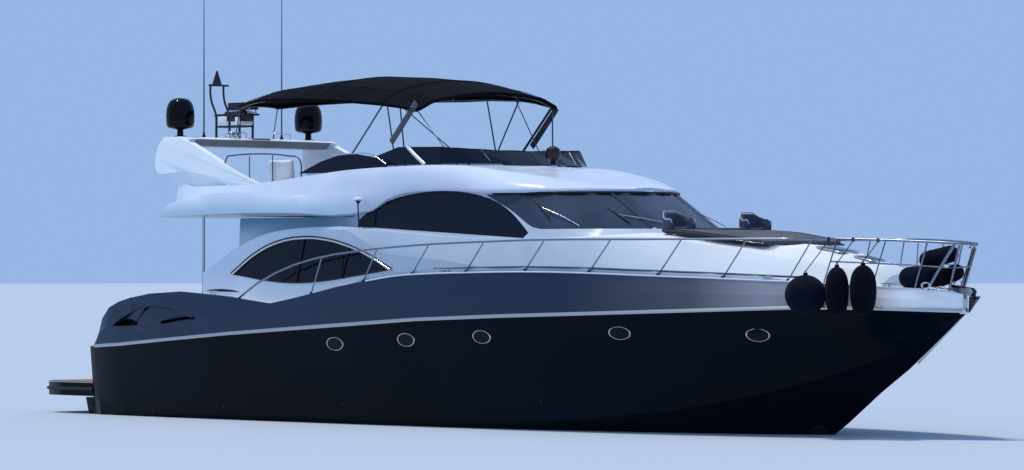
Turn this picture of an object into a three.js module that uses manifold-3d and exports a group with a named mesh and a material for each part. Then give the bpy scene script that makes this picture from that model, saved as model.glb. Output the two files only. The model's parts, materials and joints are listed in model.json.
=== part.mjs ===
// Flybridge motor yacht, about 21.8 m long over its bathing platform, afloat.
// Millimetres. +X runs to the bow, +Y to port, +Z up; the origin is amidships on the waterline.
import * as THREE from 'three';
import { mergeVertices } from 'three/addons/utils/BufferGeometryUtils.js';
import Module from 'manifold-3d';

const wasm = await Module();
wasm.setup();

// Driving dimensions
const GAP = 0.3;
const BULWARK = 90;
const DECK_DROP = 30;
const DECK_THICK = 50;
const TOE_HIGH = 105;
const TOE_WIDE = 38;
const TRANSOM_X = -9550;
const PLATFORM_AFT_X = -11380;
const PLATFORM_Z = [340, 610];
const SOLE_Z = 1450;
const HELM_SOLE_Z = 2050;
const WELL_AFT_X = -8200;
const WELL_Y = 1800;
const BULKHEAD_X = -5450;
const HOUSE_WALL = 60;
const HOUSE_LEAN = 0.128;
const SCREEN_RAKE = 1.407;
const FLY_SOLE_Z = 3800;
const ARCH_TOP = 5262;
const TUB_FRONT = -640;
const TUB_Y = 1600;
const SHAFT_Y = 1000;
const SHAFT_TILT = THREE.MathUtils.degToRad(8);
const PROPELLER_X = -8150;
const PROPELLER_Z = -1000;
const PROPELLER_R = 370;
const RUDDER_X = -8850;
const LID_X = [8830, 9120];
const SEAL = 5;
const MAST_X = [-8350, -7660];
const MAST_Y = 165;
const MAST_TOP = 5730;
const RADAR_X = -7750;
const LIGHT_X = 720;
const LIGHT_SEAT = 4592;

// Hull stations: x, keelZ, chineY, chineZ, flare (inward bow of the topside), railY, railZ
const HULL = table(['x', 'keelZ', 'chineY', 'chineZ', 'flare', 'railY', 'railZ'], [
  [-9850, -600, 2080, -20, 0, 2160, 322],
  [-9552, -639, 2148, -20, 0, 2200, 325],
  [-9550, -640, 2150, -20, 0, 2290, 1300],
  [-9250, -680, 2260, -20, 0, 2400, 1310],
  [-8400, -730, 2290, -20, 0, 2510, 1350],
  [-7000, -790, 2310, -10, 0, 2600, 1450],
  [-5000, -860, 2330, 0, 0, 2650, 1590],
  [-2500, -940, 2330, 20, 0, 2660, 1740],
  [0, -1000, 2280, 60, 10, 2640, 1880],
  [2000, -1010, 2150, 130, 30, 2590, 1950],
  [4000, -950, 1870, 260, 70, 2410, 2005],
  [5200, -820, 1620, 390, 100, 2200, 2040],
  [6200, -580, 1330, 560, 120, 1950, 2070],
  [7000, -240, 1060, 740, 130, 1710, 2095],
  [7700, 210, 800, 930, 130, 1460, 2115],
  [8400, 720, 540, 1160, 120, 1180, 2120],
  [9000, 1110, 320, 1400, 90, 900, 2110],
  [9500, 1480, 160, 1640, 50, 620, 2095],
  [9900, 1790, 60, 1880, 20, 340, 2080],
  [10180, 2010, 15, 2035, 0, 60, 2070],
]);

// Bulwark cap, the top of the dark topside band: x, capY, capZ
const CAP = table(['x', 'capY', 'capZ'], [
  [-9400, 2280, 1345], [-9240, 2320, 1600], [-9110, 2345, 1840], [-8880, 2370, 2040],
  [-8560, 2405, 2150], [-8180, 2440, 2225], [-7500, 2500, 2310], [-6560, 2555, 2350],
  [-5850, 2580, 2310], [-5100, 2600, 2260], [-4500, 2605, 2195], [-3950, 2610, 2140],
  [-3400, 2610, 2220], [-2800, 2615, 2320], [-2070, 2615, 2450], [-1350, 2610, 2550],
  [-580, 2600, 2640], [290, 2590, 2680], [1420, 2560, 2700], [2500, 2505, 2710],
  [3800, 2380, 2690], [5200, 2130, 2640], [6200, 1870, 2605], [7000, 1630, 2570],
  [7700, 1380, 2540], [8400, 1090, 2500], [9000, 810, 2460], [9500, 540, 2430],
  [9900, 280, 2400], [10180, 60, 2340],
]);

// Foredeck coachroof: x, half-breadth at the deck, half-breadth and height of its edge, crown height
const COACHROOF = table(['x', 'baseY', 'edgeY', 'edgeZ', 'crownZ'], [
  [2200, 2130, 1950, 3270, 3390],
  [4000, 2080, 1800, 3300, 3390],
  [4900, 1920, 1640, 3280, 3370],
  [5400, 1800, 1530, 3220, 3330],
  [6070, 1630, 1380, 3110, 3250],
  [6500, 1500, 1250, 3060, 3200],
  [7100, 1280, 1060, 2960, 3120],
  [7560, 1100, 900, 2880, 3050],
  [7940, 950, 760, 2800, 2960],
  [8610, 600, 450, 2680, 2820],
  [8780, 480, 330, 2560, 2660],
]);

// Flybridge moulding: x, then half-breadth and height of its bottom edge, wing, wing top, crease and
// coaming, and the height on the centreline
const FLY = finer(table(['x', 'bottomY', 'bottomZ', 'wingY', 'wingZ', 'topY', 'topZ', 'creaseY', 'creaseZ',
  'coamingY', 'coamingZ', 'crownZ'], [
  [-7650, 2120, 3735, 2180, 3745, 2130, 3815, 2080, 3818, 2000, 3820, 3820],
  [-7400, 2240, 3730, 2320, 3745, 2230, 3930, 2080, 3925, 2000, 3920, 3920],
  [-7310, 2250, 3730, 2340, 3747, 2240, 3960, 2075, 3955, 1990, 3960, 3960],
  [-7280, 2250, 3730, 2345, 3748, 2240, 3970, 2070, 3965, 1985, 4310, 4310],
  [-6900, 2260, 3730, 2370, 3755, 2250, 4070, 2065, 4060, 1980, 4310, 4310],
  [-6200, 2270, 3730, 2390, 3770, 2250, 4150, 2060, 4130, 1975, 4315, 4315],
  [-5300, 2270, 3735, 2400, 3785, 2240, 4175, 2050, 4150, 1970, 4330, 4330],
  [-4600, 2260, 3735, 2390, 3790, 2230, 4140, 2045, 4120, 1960, 4370, 4370],
  [-4000, 2240, 3730, 2360, 3785, 2210, 4090, 2040, 4090, 1950, 4425, 4425],
  [-3350, 2210, 3725, 2310, 3765, 2180, 3990, 2035, 4150, 1935, 4480, 4480],
  [-2700, 2150, 3700, 2220, 3730, 2130, 3830, 2025, 4290, 1920, 4535, 4535],
  [-1900, 1990, 3790, 2000, 3820, 2000, 3900, 2000, 4400, 1890, 4570, 4570],
  [-1500, 1985, 3985, 1990, 4020, 1990, 4060, 1985, 4435, 1880, 4580, 4580],
  [-1000, 1975, 4105, 1982, 4130, 1982, 4160, 1970, 4460, 1870, 4588, 4588],
  [-500, 1965, 4130, 1972, 4155, 1972, 4182, 1955, 4462, 1850, 4592, 4600],
  [50, 1950, 4132, 1958, 4157, 1958, 4184, 1935, 4430, 1800, 4580, 4605],
  [540, 1935, 4112, 1945, 4142, 1945, 4170, 1905, 4350, 1730, 4545, 4590],
  [1000, 1930, 4080, 1942, 4115, 1938, 4150, 1845, 4300, 1640, 4480, 4550],
  [1500, 1850, 4075, 1862, 4110, 1855, 4145, 1750, 4250, 1480, 4410, 4485],
  [2000, 1665, 4070, 1677, 4105, 1668, 4140, 1560, 4215, 1300, 4330, 4400],
  [2400, 1412, 4070, 1424, 4105, 1414, 4140, 1310, 4190, 1090, 4265, 4320],
  [2700, 1135, 4070, 1146, 4105, 1138, 4140, 1040, 4175, 860, 4215, 4255],
  [2950, 786, 4070, 797, 4105, 790, 4138, 700, 4160, 560, 4180, 4200],
  [3100, 398, 4070, 405, 4102, 400, 4132, 340, 4145, 260, 4155, 4165],
]), 330);

// Side window outlines on the boat's side: x, z
const SIDE_WINDOW = [
  ...curve([[-2275, 3520], [-2240, 3650], [-1830, 3865], [-1280, 4030], [-680, 4110], [-100, 4128],
    [480, 4092], [1050, 3985], [1485, 3803], [1760, 3628], [2080, 3376]], 2),
  [1985, 3285], [1100, 3334], [200, 3378], [-1280, 3460],
];
const AFT_WINDOW = [
  ...curve([[-5440, 2670], [-4750, 3050], [-4110, 3255], [-3480, 3325], [-2850, 3295], [-2230, 3175],
    [-1620, 2975], [-1120, 2750]], 2),
  ...curve([[-1120, 2750], [-1930, 2650], [-2850, 2550], [-3670, 2510], [-4430, 2550], [-5080, 2630],
    [-5440, 2670]], 2).slice(1, -1),
];

// Flush side of the house: x, heights of its shoulder and its foot, half-breadths at the foot and the shoulder
const SURROUND = table(['x', 'topZ', 'lowZ', 'lowY', 'topY'], [
  [-6270, 2720, 2300, 2230, 2230], [-6130, 2775, 2355, 2230, 2230], [-5990, 2840, 2420, 2230, 2230],
  [-5700, 2990, 2570, 2230, 2230], [-5400, 3140, 2720, 2230, 2230], [-5080, 3268, 2850, 2230, 2230],
  [-4750, 3370, 2950, 2230, 2230], [-4380, 3445, 3025, 2230, 2230], [-3990, 3490, 3070, 2230, 2230],
  [-3600, 3516, 3095, 2230, 2230], [-3170, 3528, 3110, 2230, 2230], [-2700, 3532, 3112, 2230, 2225],
  [-2260, 3512, 3090, 2230, 2215], [-1280, 3447, 3027, 2225, 2180], [-500, 3388, 2968, 2215, 2140],
  [200, 3337, 2917, 2205, 2100], [1200, 3305, 2790, 2180, 2040], [1900, 3288, 2700, 2150, 1992],
  [2200 - GAP, 3275, 2680, 2130, 1967],
]);
const INTAKE = [[-8700, 1690], [-8420, 1830], [-8000, 1990], [-7660, 2060], [-7340, 2085],
  [-6970, 2065], [-6640, 2000], [-6360, 1905], [-6020, 1845], [-6920, 1750], [-7840, 1700]];
const WINDSCREEN = [[960, 4050], [5000, 4050], [5000, 3440], [2330, 3440], [2133, 3472], [1995, 3535],
  [1865, 3609], [1700, 3703], [1529, 3793], [1252, 3916], [1012, 4021]];

// Tables, rings and solids
function table(columns, rows) {
  return rows.map((row) => Object.fromEntries(columns.map((name, i) => [name, row[i]])));
}

function at(rows, x, name) {
  const next = rows.findIndex((row) => row.x >= x);
  if (next === 0) return rows[0][name];
  if (next < 0) return rows[rows.length - 1][name];
  const [a, b] = [rows[next - 1], rows[next]];
  return a[name] + ((b[name] - a[name]) * (x - a.x)) / (b.x - a.x);
}

// Points of a smooth curve through the given ones, so many to each of them
function curve(points, each, closed = false) {
  const path = new THREE.CatmullRomCurve3(points.map(([u, v]) => new THREE.Vector3(u, v, 0)), closed,
    'centripetal');
  const count = (points.length - (closed ? 0 : 1)) * each;
  return Array.from({ length: count + (closed ? 0 : 1) }, (_, i) => {
    const { x, y } = path.getPoint(i / count);
    return [x, y];
  });
}

// A table with rows added between far ones, on a smooth curve through each column
function finer(rows, farther) {
  const names = Object.keys(rows[0]);
  return rows.flatMap((row, i) => {
    const next = rows[i + 1];
    if (!next || next.x - row.x < farther) return [row];
    const [before, after] = [rows[i - 1] ?? row, rows[i + 2] ?? next];
    const middle = Object.fromEntries(names.map((name) => {
      const even = (row[name] + next[name]) / 2;
      const slopes = (next.x - row.x) * (((next[name] - before[name]) / (next.x - before.x))
        - ((after[name] - row[name]) / (after.x - row.x)));
      return [name, name === 'x' ? even : even + slopes / 8];
    }));
    return [row, middle];
  });
}

const capZ = (x) => at(CAP, x, 'capZ');
const capY = (x) => at(CAP, x, 'capY');
const deckTop = (x) => capZ(x) - DECK_DROP;

function solidOf(geometry) {
  const bare = geometry.clone();
  bare.deleteAttribute('normal');
  bare.deleteAttribute('uv');
  const merged = mergeVertices(bare, 1e-3);
  return new wasm.Manifold(new wasm.Mesh({
    numProp: 3,
    vertProperties: new Float32Array(merged.attributes.position.array),
    triVerts: new Uint32Array(merged.index.array),
  }));
}

function geometryOf(solid) {
  const mesh = solid.getMesh();
  const geometry = new THREE.BufferGeometry();
  geometry.setAttribute('position', new THREE.BufferAttribute(mesh.vertProperties, 3));
  geometry.setIndex(new THREE.BufferAttribute(mesh.triVerts, 1));
  geometry.computeVertexNormals();
  return geometry;
}

function capFaces(ring, first, forwards) {
  const normal = new THREE.Vector3();
  ring.forEach((p, i) => {
    const q = ring[(i + 1) % ring.length];
    normal.add(new THREE.Vector3(...p).cross(new THREE.Vector3(...q)));
  });
  const sizes = normal.toArray().map(Math.abs);
  const drop = sizes.indexOf(Math.max(...sizes));
  const [u, v] = [0, 1, 2].filter((axis) => axis !== drop);
  const flat = ring.map((p) => new THREE.Vector2(p[u], p[v]));
  return THREE.ShapeUtils.triangulateShape(flat, []).flatMap(([a, b, c]) => {
    const [p, q, r] = [a, b, c].map((i) => new THREE.Vector3(...ring[i]));
    const turn = q.sub(p).cross(r.sub(p)).dot(normal) > 0;
    return (turn === forwards ? [a, b, c] : [a, c, b]).map((i) => i + first);
  });
}

// A closed skin through like rings of points, with its ends closed
function loft(rings) {
  const count = rings[0].length;
  const faces = [];
  rings.slice(1).forEach((ring, i) => {
    ring.forEach((point, j) => {
      const [a, b] = [i * count + j, i * count + ((j + 1) % count)];
      faces.push(a, b, a + count, b, b + count, a + count);
    });
  });
  faces.push(...capFaces(rings[0], 0, false));
  faces.push(...capFaces(rings[rings.length - 1], (rings.length - 1) * count, true));
  const points = rings.flat();
  const volume = faces.reduce((sum, _, i) => {
    if (i % 3) return sum;
    const [p, q, r] = [0, 1, 2].map((k) => new THREE.Vector3(...points[faces[i + k]]));
    return sum + p.dot(q.cross(r));
  }, 0);
  const turned = volume > 0 ? faces : faces.slice().reverse();
  return new wasm.Manifold(new wasm.Mesh({
    numProp: 3,
    vertProperties: new Float32Array(points.flat()),
    triVerts: new Uint32Array(turned),
  }));
}

const join = (...solids) => wasm.Manifold.union(solids.flat());

function box([x0, x1], [y0, y1], [z0, z1]) {
  const geometry = new THREE.BoxGeometry(x1 - x0, y1 - y0, z1 - z0);
  return solidOf(geometry.translate((x0 + x1) / 2, (y0 + y1) / 2, (z0 + z1) / 2));
}

function prism(outline, axis, from, to) {
  const shape = new THREE.Shape(outline.map(([u, v]) => new THREE.Vector2(u, v)));
  const geometry = new THREE.ExtrudeGeometry(shape, { depth: to - from, bevelEnabled: false });
  const turn = {
    x: [0, 0, 1, from, 1, 0, 0, 0, 0, 1, 0, 0, 0, 0, 0, 1],
    y: [1, 0, 0, 0, 0, 0, -1, to, 0, 1, 0, 0, 0, 0, 0, 1],
    z: [1, 0, 0, 0, 0, 1, 0, 0, 0, 0, 1, from, 0, 0, 0, 1],
  }[axis];
  return solidOf(geometry.applyMatrix4(new THREE.Matrix4().set(...turn)));
}

function rod(a, b, radius, sides = 8, endRadius = radius) {
  const [start, end] = [new THREE.Vector3(...a), new THREE.Vector3(...b)];
  const along = end.clone().sub(start);
  const geometry = new THREE.CylinderGeometry(endRadius, radius, along.length(), sides);
  const turn = new THREE.Quaternion().setFromUnitVectors(
    new THREE.Vector3(0, 1, 0), along.clone().normalize());
  geometry.applyQuaternion(turn);
  const middle = start.add(end).multiplyScalar(0.5);
  return solidOf(geometry.translate(middle.x, middle.y, middle.z));
}

function pipe(points, radius, steps, sides = 6) {
  const path = new THREE.CatmullRomCurve3(points.map((p) => new THREE.Vector3(...p)));
  const circle = new THREE.Shape(Array.from({ length: sides }, (_, i) => {
    const turn = (2 * Math.PI * i) / sides;
    return new THREE.Vector2(radius * Math.cos(turn), radius * Math.sin(turn));
  }));
  return solidOf(new THREE.ExtrudeGeometry(circle, { steps, extrudePath: path, bevelEnabled: false }));
}

// A turned shape: the profile's points are radius, height, and the axis is vertical
function turned([x, y, z], profile, sides = 14) {
  const points = profile.map(([r, h]) => new THREE.Vector2(r, h));
  const geometry = new THREE.LatheGeometry(points, sides);
  geometry.rotateX(Math.PI / 2);
  return solidOf(geometry.translate(x, y, z));
}

function changed(solid, change) {
  const mesh = solid.getMesh();
  const points = new Float32Array(mesh.vertProperties);
  for (let i = 0; i < points.length; i += 3) {
    points.set(change([points[i], points[i + 1], points[i + 2]]), i);
  }
  return { points, faces: mesh.triVerts };
}

function mirrored(solid) {
  const { points, faces } = changed(solid, ([x, y, z]) => [x, -y, z]);
  return new wasm.Manifold(new wasm.Mesh({
    numProp: 3, vertProperties: points, triVerts: new Uint32Array(faces).reverse(),
  }));
}

function reshaped(solid, change) {
  const { points, faces } = changed(solid, change);
  return new wasm.Manifold(new wasm.Mesh({
    numProp: 3, vertProperties: points, triVerts: new Uint32Array(faces),
  }));
}

// A ring symmetric about the centreline, from half points (y, z) that start low
function bothSides(x, half) {
  const starboard = half.map(([y, z]) => [x, -y, z]);
  const port = half.slice().reverse().filter(([y]) => y > 0).map(([y, z]) => [x, y, z]);
  return [...starboard, ...port];
}

const span = (sign, near, far) => [sign * near, sign * far].sort((a, b) => a - b);

function shrunk(outline, amount) {
  const mid = outline.reduce(([a, b], [u, v]) => [a + u / outline.length, b + v / outline.length],
    [0, 0]);
  return outline.map(([u, v]) => {
    const away = Math.hypot(u - mid[0], v - mid[1]);
    const keep = (away - amount) / away;
    return [mid[0] + (u - mid[0]) * keep, mid[1] + (v - mid[1]) * keep];
  });
}

// Hull, topsides and deck
function hullRing(row) {
  const side = (t) => [
    row.chineY + (row.railY - row.chineY) * t - row.flare * 4 * t * (1 - t),
    row.chineZ + (row.railZ - row.chineZ) * t,
  ];
  return bothSides(row.x, [[0, row.keelZ], [row.chineY, row.chineZ], side(0.35), side(0.7),
    [row.railY, row.railZ], [0, row.railZ]]);
}

const stairCuts = [[-9270, 820], [-8990, 1030], [-8710, 1240], [WELL_AFT_X + 10, SOLE_Z]];
function wells(top) {
  const stairs = [-1, 1].flatMap((side) => stairCuts.map(([x, z]) => {
    return box([-9700, x], span(side, 1350, 1950), [z, top]);
  }));
  return join(
    box([WELL_AFT_X, -1000], [-WELL_Y, WELL_Y], [SOLE_Z, top]),
    box([-1001, 1500], [-WELL_Y, WELL_Y], [HELM_SOLE_Z, top]),
    stairs,
  );
}

function makeHull() {
  const locker = box([TRANSOM_X - 100, -8300], [-1050, 1050], [700, 1240]);
  const glands = [-1, 1].flatMap((side) => [
    rod([PROPELLER_X, side * SHAFT_Y, PROPELLER_Z], shaftPoint(4600, side), 48, 12),
    rod([RUDDER_X, side * SHAFT_Y, -700], [RUDDER_X, side * SHAFT_Y, -250], 42, 12),
  ]);
  return loft(HULL.map(hullRing)).subtract(join(wells(3000), locker, glands));
}

const bandStations = [...new Set([...CAP, ...HULL].map(({ x }) => x))]
  .filter((x) => x >= CAP[0].x).sort((a, b) => a - b);

function bandOutside(x, grow) {
  const [railY, railZ] = [at(HULL, x, 'railY') - 12, at(HULL, x, 'railZ') + GAP];
  return [[0, railZ - grow], [railY + grow, railZ - grow],
    [(railY + capY(x)) / 2 + 18 + grow, (railZ + capZ(x)) / 2], [capY(x) + grow, capZ(x) + grow]];
}

function makeBand() {
  const rings = bandStations.map((x) => {
    const [y, z, railZ] = [capY(x), capZ(x), at(HULL, x, 'railZ') + GAP];
    const wall = Math.min(BULWARK, 0.4 * y);
    const floor = Math.max(z - DECK_DROP - DECK_THICK, railZ + 0.4 * (z - railZ));
    return bothSides(x, [...bandOutside(x, 0), [y - wall, z], [y - wall, floor], [0, floor]]);
  });
  const scoop = prism(INTAKE, 'y', -2700, -2250).subtract(prism([[-9000, -2240], [-8750, -2240],
    [-7900, -2480], [-6000, -2500], [-6000, -2000], [-9000, -2000]], 'z', 1500, 2200));
  return loft(rings).subtract(join(wells(3000), scoop, mirrored(scoop), anchorLocker()));
}

function coachroofRing(row, raise, grow) {
  const shoulder = row.edgeZ + 0.75 * (row.crownZ - row.edgeZ);
  return bothSides(row.x, [[0, 2400], [row.baseY + grow, 2400], [row.baseY + grow, deckTop(row.x)],
    [row.edgeY + grow, row.edgeZ + raise], [row.edgeY * 0.55, shoulder + raise],
    [0, row.crownZ + raise]]);
}

const anchorLocker = () => box([LID_X[0] + 50, LID_X[1] - 40], [-220, 220], [2200, 2600]);

function makeLockerLid() {
  const edge = (x, raise) => [x, deckTop(x) + SEAL + raise];
  return prism([edge(LID_X[0], 0), edge(LID_X[1], 0), edge(LID_X[1], 30), edge(LID_X[0], 30)], 'y',
    -280, 280);
}

const coachroof = (raise, grow) => loft(COACHROOF.map((row) => coachroofRing(row, raise, grow)));

function makeDeck() {
  const rings = CAP.filter(({ x }) => x > -8600 && x < 10000).map(({ x, capY: y }) => {
    const [edge, top] = [y - Math.min(BULWARK, 0.4 * y) - GAP, deckTop(x)];
    const floor = top - DECK_THICK + GAP;
    const toe = top + 1 + TOE_HIGH * Math.max(0, Math.min(1, (x + 2300) / 900, (7900 - x) / 900));
    const inside = edge - Math.min(TOE_WIDE, 0.2 * edge);
    return bothSides(x, [[0, floor], [edge, floor], [edge, toe], [inside, toe], [inside, top], [0, top]]);
  });
  const hump = coachroof(0, 0).subtract(belowDeck(-DECK_THICK / 2));
  return join(loft(rings), hump).subtract(join(wells(2900), anchorLocker()));
}

function belowDeck(raise) {
  return loft(CAP.map(({ x }) => bothSides(x, [[0, 0], [3000, 0], [3000, deckTop(x) + raise],
    [0, deckTop(x) + raise]])));
}

function makeRubRail() {
  const rails = [-1, 1].map((side) => loft(HULL.filter(({ x }) => x > -9500).map(({ x, railY, railZ }) => [
    [x, side * (railY - 40), railZ - 34], [x, side * (railY + 24), railZ - 30],
    [x, side * (railY + 46), railZ], [x, side * (railY + 24), railZ + 30],
    [x, side * (railY - 40), railZ + 34],
  ])));
  const nose = rod([10150, 0, 2036], [10150, 0, 2104], 78, 12);
  return join(rails, nose);
}

// Deckhouse, glass and doors
function housePlan(z, rear, front, halfRear, halfFront, nose) {
  const bow = Array.from({ length: 11 }, (_, i) => {
    const turn = (Math.PI * (i - 5)) / 10;
    return [front + nose * Math.cos(turn), halfFront * Math.sin(turn), z];
  });
  return [[rear, -halfRear, z], ...bow, [rear, halfRear, z]];
}

// The saloon and, forward of it, the higher part under the flybridge's screen, round the flybridge's tub.
// Both lean in as they rise, and their sides run on flush from one to the other.
function houseBody(inset, low) {
  const k = inset;
  const aft = [low, 3700 - k].map((z) => {
    const up = z - 3300;
    return housePlan(z, BULKHEAD_X, -2200, 2041 - 0.053 * up - k, 1998 - HOUSE_LEAN * up - k, 50 - k);
  });
  const fore = [low, 4160 - k].map((z) => {
    const up = z - 3300;
    return housePlan(z, -2400 + k, 2000 - SCREEN_RAKE * up, 2000 - HOUSE_LEAN * up - k, 1965 - HOUSE_LEAN * up - k,
      2450 - 0.233 * up - k);
  });
  const tub = box([-2500, TUB_FRONT + k], [-TUB_Y - k, TUB_Y + k], [3700 - k, 4400]);
  return join(loft(aft), loft(fore).subtract(tub));
}

function makeDeckhouse() {
  const inside = houseBody(HOUSE_WALL, 1900);
  const aftMouth = box([BULKHEAD_X - 100, BULKHEAD_X + 90], [-WELL_Y, WELL_Y], [1900, 3640]);
  const cuts = join(
    prism(SIDE_WINDOW, 'y', -3000, 3000),
    prism(shrunk(AFT_WINDOW, 60), 'y', -3000, 3000).subtract(
      box([-6000, BULKHEAD_X + 120], [-3000, 3000], [2000, 4000])),
    prism(WINDSCREEN, 'y', -3000, 3000),
  );
  const posts = [-820, 760].map((y) => prism([[2600, 4060], [3200, 4060], [4300, 3430], [3700, 3430]],
    'y', y, y + 60));
  const shell = houseBody(0, 2000).subtract(join(inside, aftMouth));
  const roofless = shell.subtract(cuts.subtract(join(posts)));
  return roofless.subtract(join(belowDeck(GAP), coachroof(GAP, GAP)));
}

function glassSkin() {
  return houseBody(10, 2000).subtract(houseBody(22, 1990));
}

function makeWindscreen(side) {
  const spans = { starboard: [-3000, -824], centre: [-756, 756], port: [824, 3000] };
  const pane = glassSkin().intersect(prism(shrunk(WINDSCREEN, 12), 'y', ...spans[side]));
  return largest(pane);
}

function largest(solid) {
  return solid.decompose().sort((a, b) => b.volume() - a.volume())[0];
}

function makeSurround() {
  const side = loft(SURROUND.map(({ x, topZ, lowZ, lowY, topY }) => {
    const inner = x < BULKHEAD_X - 100 ? 2115 : 1900;
    const round = Math.min(60, (lowY - inner) / 3);
    return [[x, -inner, 2000], [x, -lowY, 2000], [x, -lowY, lowZ], [x, -topY, topZ - round],
      [x, -(topY - round * 0.3), topZ - round * 0.3], [x, -(topY - round), topZ], [x, -inner, topZ]];
  }));
  const light = prism(AFT_WINDOW, 'y', -2300, -2000);
  const house = houseBody(-GAP, 2000);
  const others = join(light, house, mirrored(house), belowDeck(GAP), coachroof(GAP, GAP));
  return largest(side.subtract(others));
}

// Flybridge, arch and canopy
function flyRing(row) {
  return bothSides(row.x, [[0, row.bottomZ], [row.bottomY, row.bottomZ], [row.wingY, row.wingZ],
    [row.topY, row.topZ], [row.creaseY, row.creaseZ], [row.coamingY, row.coamingZ],
    [row.coamingY - 70, row.coamingZ], [0, row.crownZ]]);
}

const flyBlank = (raise) => loft(FLY.map((row) => flyRing(row).map(([x, y, z]) => [x, y, z + raise])));

function makeFlybridge() {
  const half = [[-7800, 1890], [-2500, 1815], [-2420, 1520], [-900, 1520], [TUB_FRONT - 80, 1380]];
  const well = prism([...half, ...half.slice().reverse().map(([x, y]) => [x, -y])], 'z', FLY_SOLE_Z,
    5000);
  const tub = box([-2500, TUB_FRONT - GAP], [-TUB_Y + GAP, TUB_Y - GAP], [3700 + GAP, 4300]);
  const stairwell = box([-7000, -6200], [700, 1500], [3600, 4000]);
  const seat = rod([LIGHT_X, 0, 4480], [LIGHT_X, 0, LIGHT_SEAT], 75, 14);
  return join(loft(FLY.map(flyRing)), tub, seat).subtract(
    join(well, stairwell, houseBody(-GAP, 2000)));
}

function makeArch() {
  const blade = [...curve([[-4860, 4280], [-5300, 4420], [-5700, 4560], [-6140, 4755], [-6600, 4945],
    [-7060, 5130], [-7330, 5238], [-7560, 5270], [-7790, 5255], [-7955, 5160], [-8035, 4985], [-8050, 4780],
    [-7990, 4625], [-7860, 4565], [-7600, 4575], [-7200, 4590], [-6800, 4560], [-6450, 4490],
    [-6100, 4400], [-5800, 4280]], 2)];
  const fairing = [[-7800, 4650], [-7800, 4590], [-7640, 4500], [-7480, 4390], [-7320, 4280], [-5700, 4280],
    [-6450, 4560], [-7200, 4650]];
  const fin = join(prism(blade, 'y', -1975, -1825), prism(fairing, 'y', -1890, -1840));
  const lean = ([x, y, z]) => [x, y + Math.max(0, z - 4400) * 0.12, z];
  const starboard = reshaped(fin, lean);
  const bar = prism([[-7960, 5170], [-7850, 5085], [-7260, 5085], [-7110, 5215], [-7400, ARCH_TOP],
    [-7900, ARCH_TOP]], 'y', -1850, 1850);
  const plinth = box([MAST_X[0] - 60, -7200], [-MAST_Y - 60, MAST_Y + 60], [5180, ARCH_TOP]);
  const above = box([-8200, -4000], [-2300, 2300], [ARCH_TOP, 5600]);
  return join(starboard, mirrored(starboard), bar, plinth).subtract(join(flyBlank(GAP), above));
}

function screenPlan(z, inset) {
  const half = 1760 - (inset > 100 ? 0.2 : 1) * inset;
  const nose = Array.from({ length: 9 }, (_, i) => {
    const turn = (Math.PI * (i - 4)) / 8;
    return [-350 + (800 - inset) * Math.cos(turn), half * Math.sin(turn), z];
  });
  return [[-2100, -half, z], ...nose, [-2100, half, z]];
}

function makeFlyScreen() {
  const [low, high, rake] = [4610, 4935, 320];
  const outer = loft([screenPlan(low, 0), screenPlan(high, rake)]);
  const inner = loft([screenPlan(low - 1, 14), screenPlan(high + 1, rake + 14)]);
  const mouth = box([-2200, -2080], [-1730, 1730], [4500, 5000]);
  const rearCut = prism([[-2200, 4740], [-1450, 4945], [-1450, 5000], [-2200, 5000]], 'y', -1800, 1800);
  const dip = ([x, y, z]) => [x, y, z - (z > low + 100 ? Math.max(0, x + 500) * 0.12 : 0)];
  return reshaped(outer.subtract(join(inner, mouth, rearCut)), dip);
}

function makeSidePane() {
  const leaf = [[-3980, 4500], [-3360, 4710], [-2890, 4810], [-2430, 4830], [-2000, 4770],
    [-1600, 4640], [-1600, 4500]];
  return prism(leaf, 'y', -1882, -1864).subtract(flyBlank(GAP));
}

// Canopy sections: x, half-breadth, edge height, crown height, lift of the port edge
const CANOPY = table(['x', 'half', 'edgeZ', 'crownZ', 'lift'], [
  [-7320, 480, 5890, 5935, 10], [-6900, 720, 5925, 6010, 20], [-6150, 1100, 5955, 6120, 30],
  [-5500, 1420, 5955, 6200, 30], [-4900, 1600, 5940, 6250, 30], [-4400, 1680, 5930, 6290, 35],
  [-3500, 1760, 5900, 6320, 45], [-2700, 1770, 5875, 6280, 70], [-1900, 1770, 5820, 6195, 85],
  [-1400, 1765, 5755, 6090, 80], [-950, 1755, 5665, 5955, 70],
]);

// How much of the crown's height is left at t across, with a hip towards each edge
const HIP = 0.78;
const HIP_LEFT = 0.55;
function crownLeft(t) {
  const out = Math.abs(t);
  return out > HIP ? (HIP_LEFT * (1 - out)) / (1 - HIP) : 1 - (1 - HIP_LEFT) * (out / HIP) ** 2;
}
const archAt = (row, t, drop) => [row.half * t, row.edgeZ + (row.crownZ - row.edgeZ) * crownLeft(t)
  + row.lift * t - drop];

const ACROSS = [-1, -0.89, -HIP, -0.6, -0.35, 0, 0.35, 0.6, HIP, 0.89, 1];
function makeCanopy() {
  return loft(CANOPY.map((row) => [
    ...ACROSS.map((t) => [row.x, ...archAt(row, t, 0)]),
    ...ACROSS.slice().reverse().map((t) => [row.x, ...archAt(row, t * 0.99, 26)]),
  ]));
}

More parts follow.
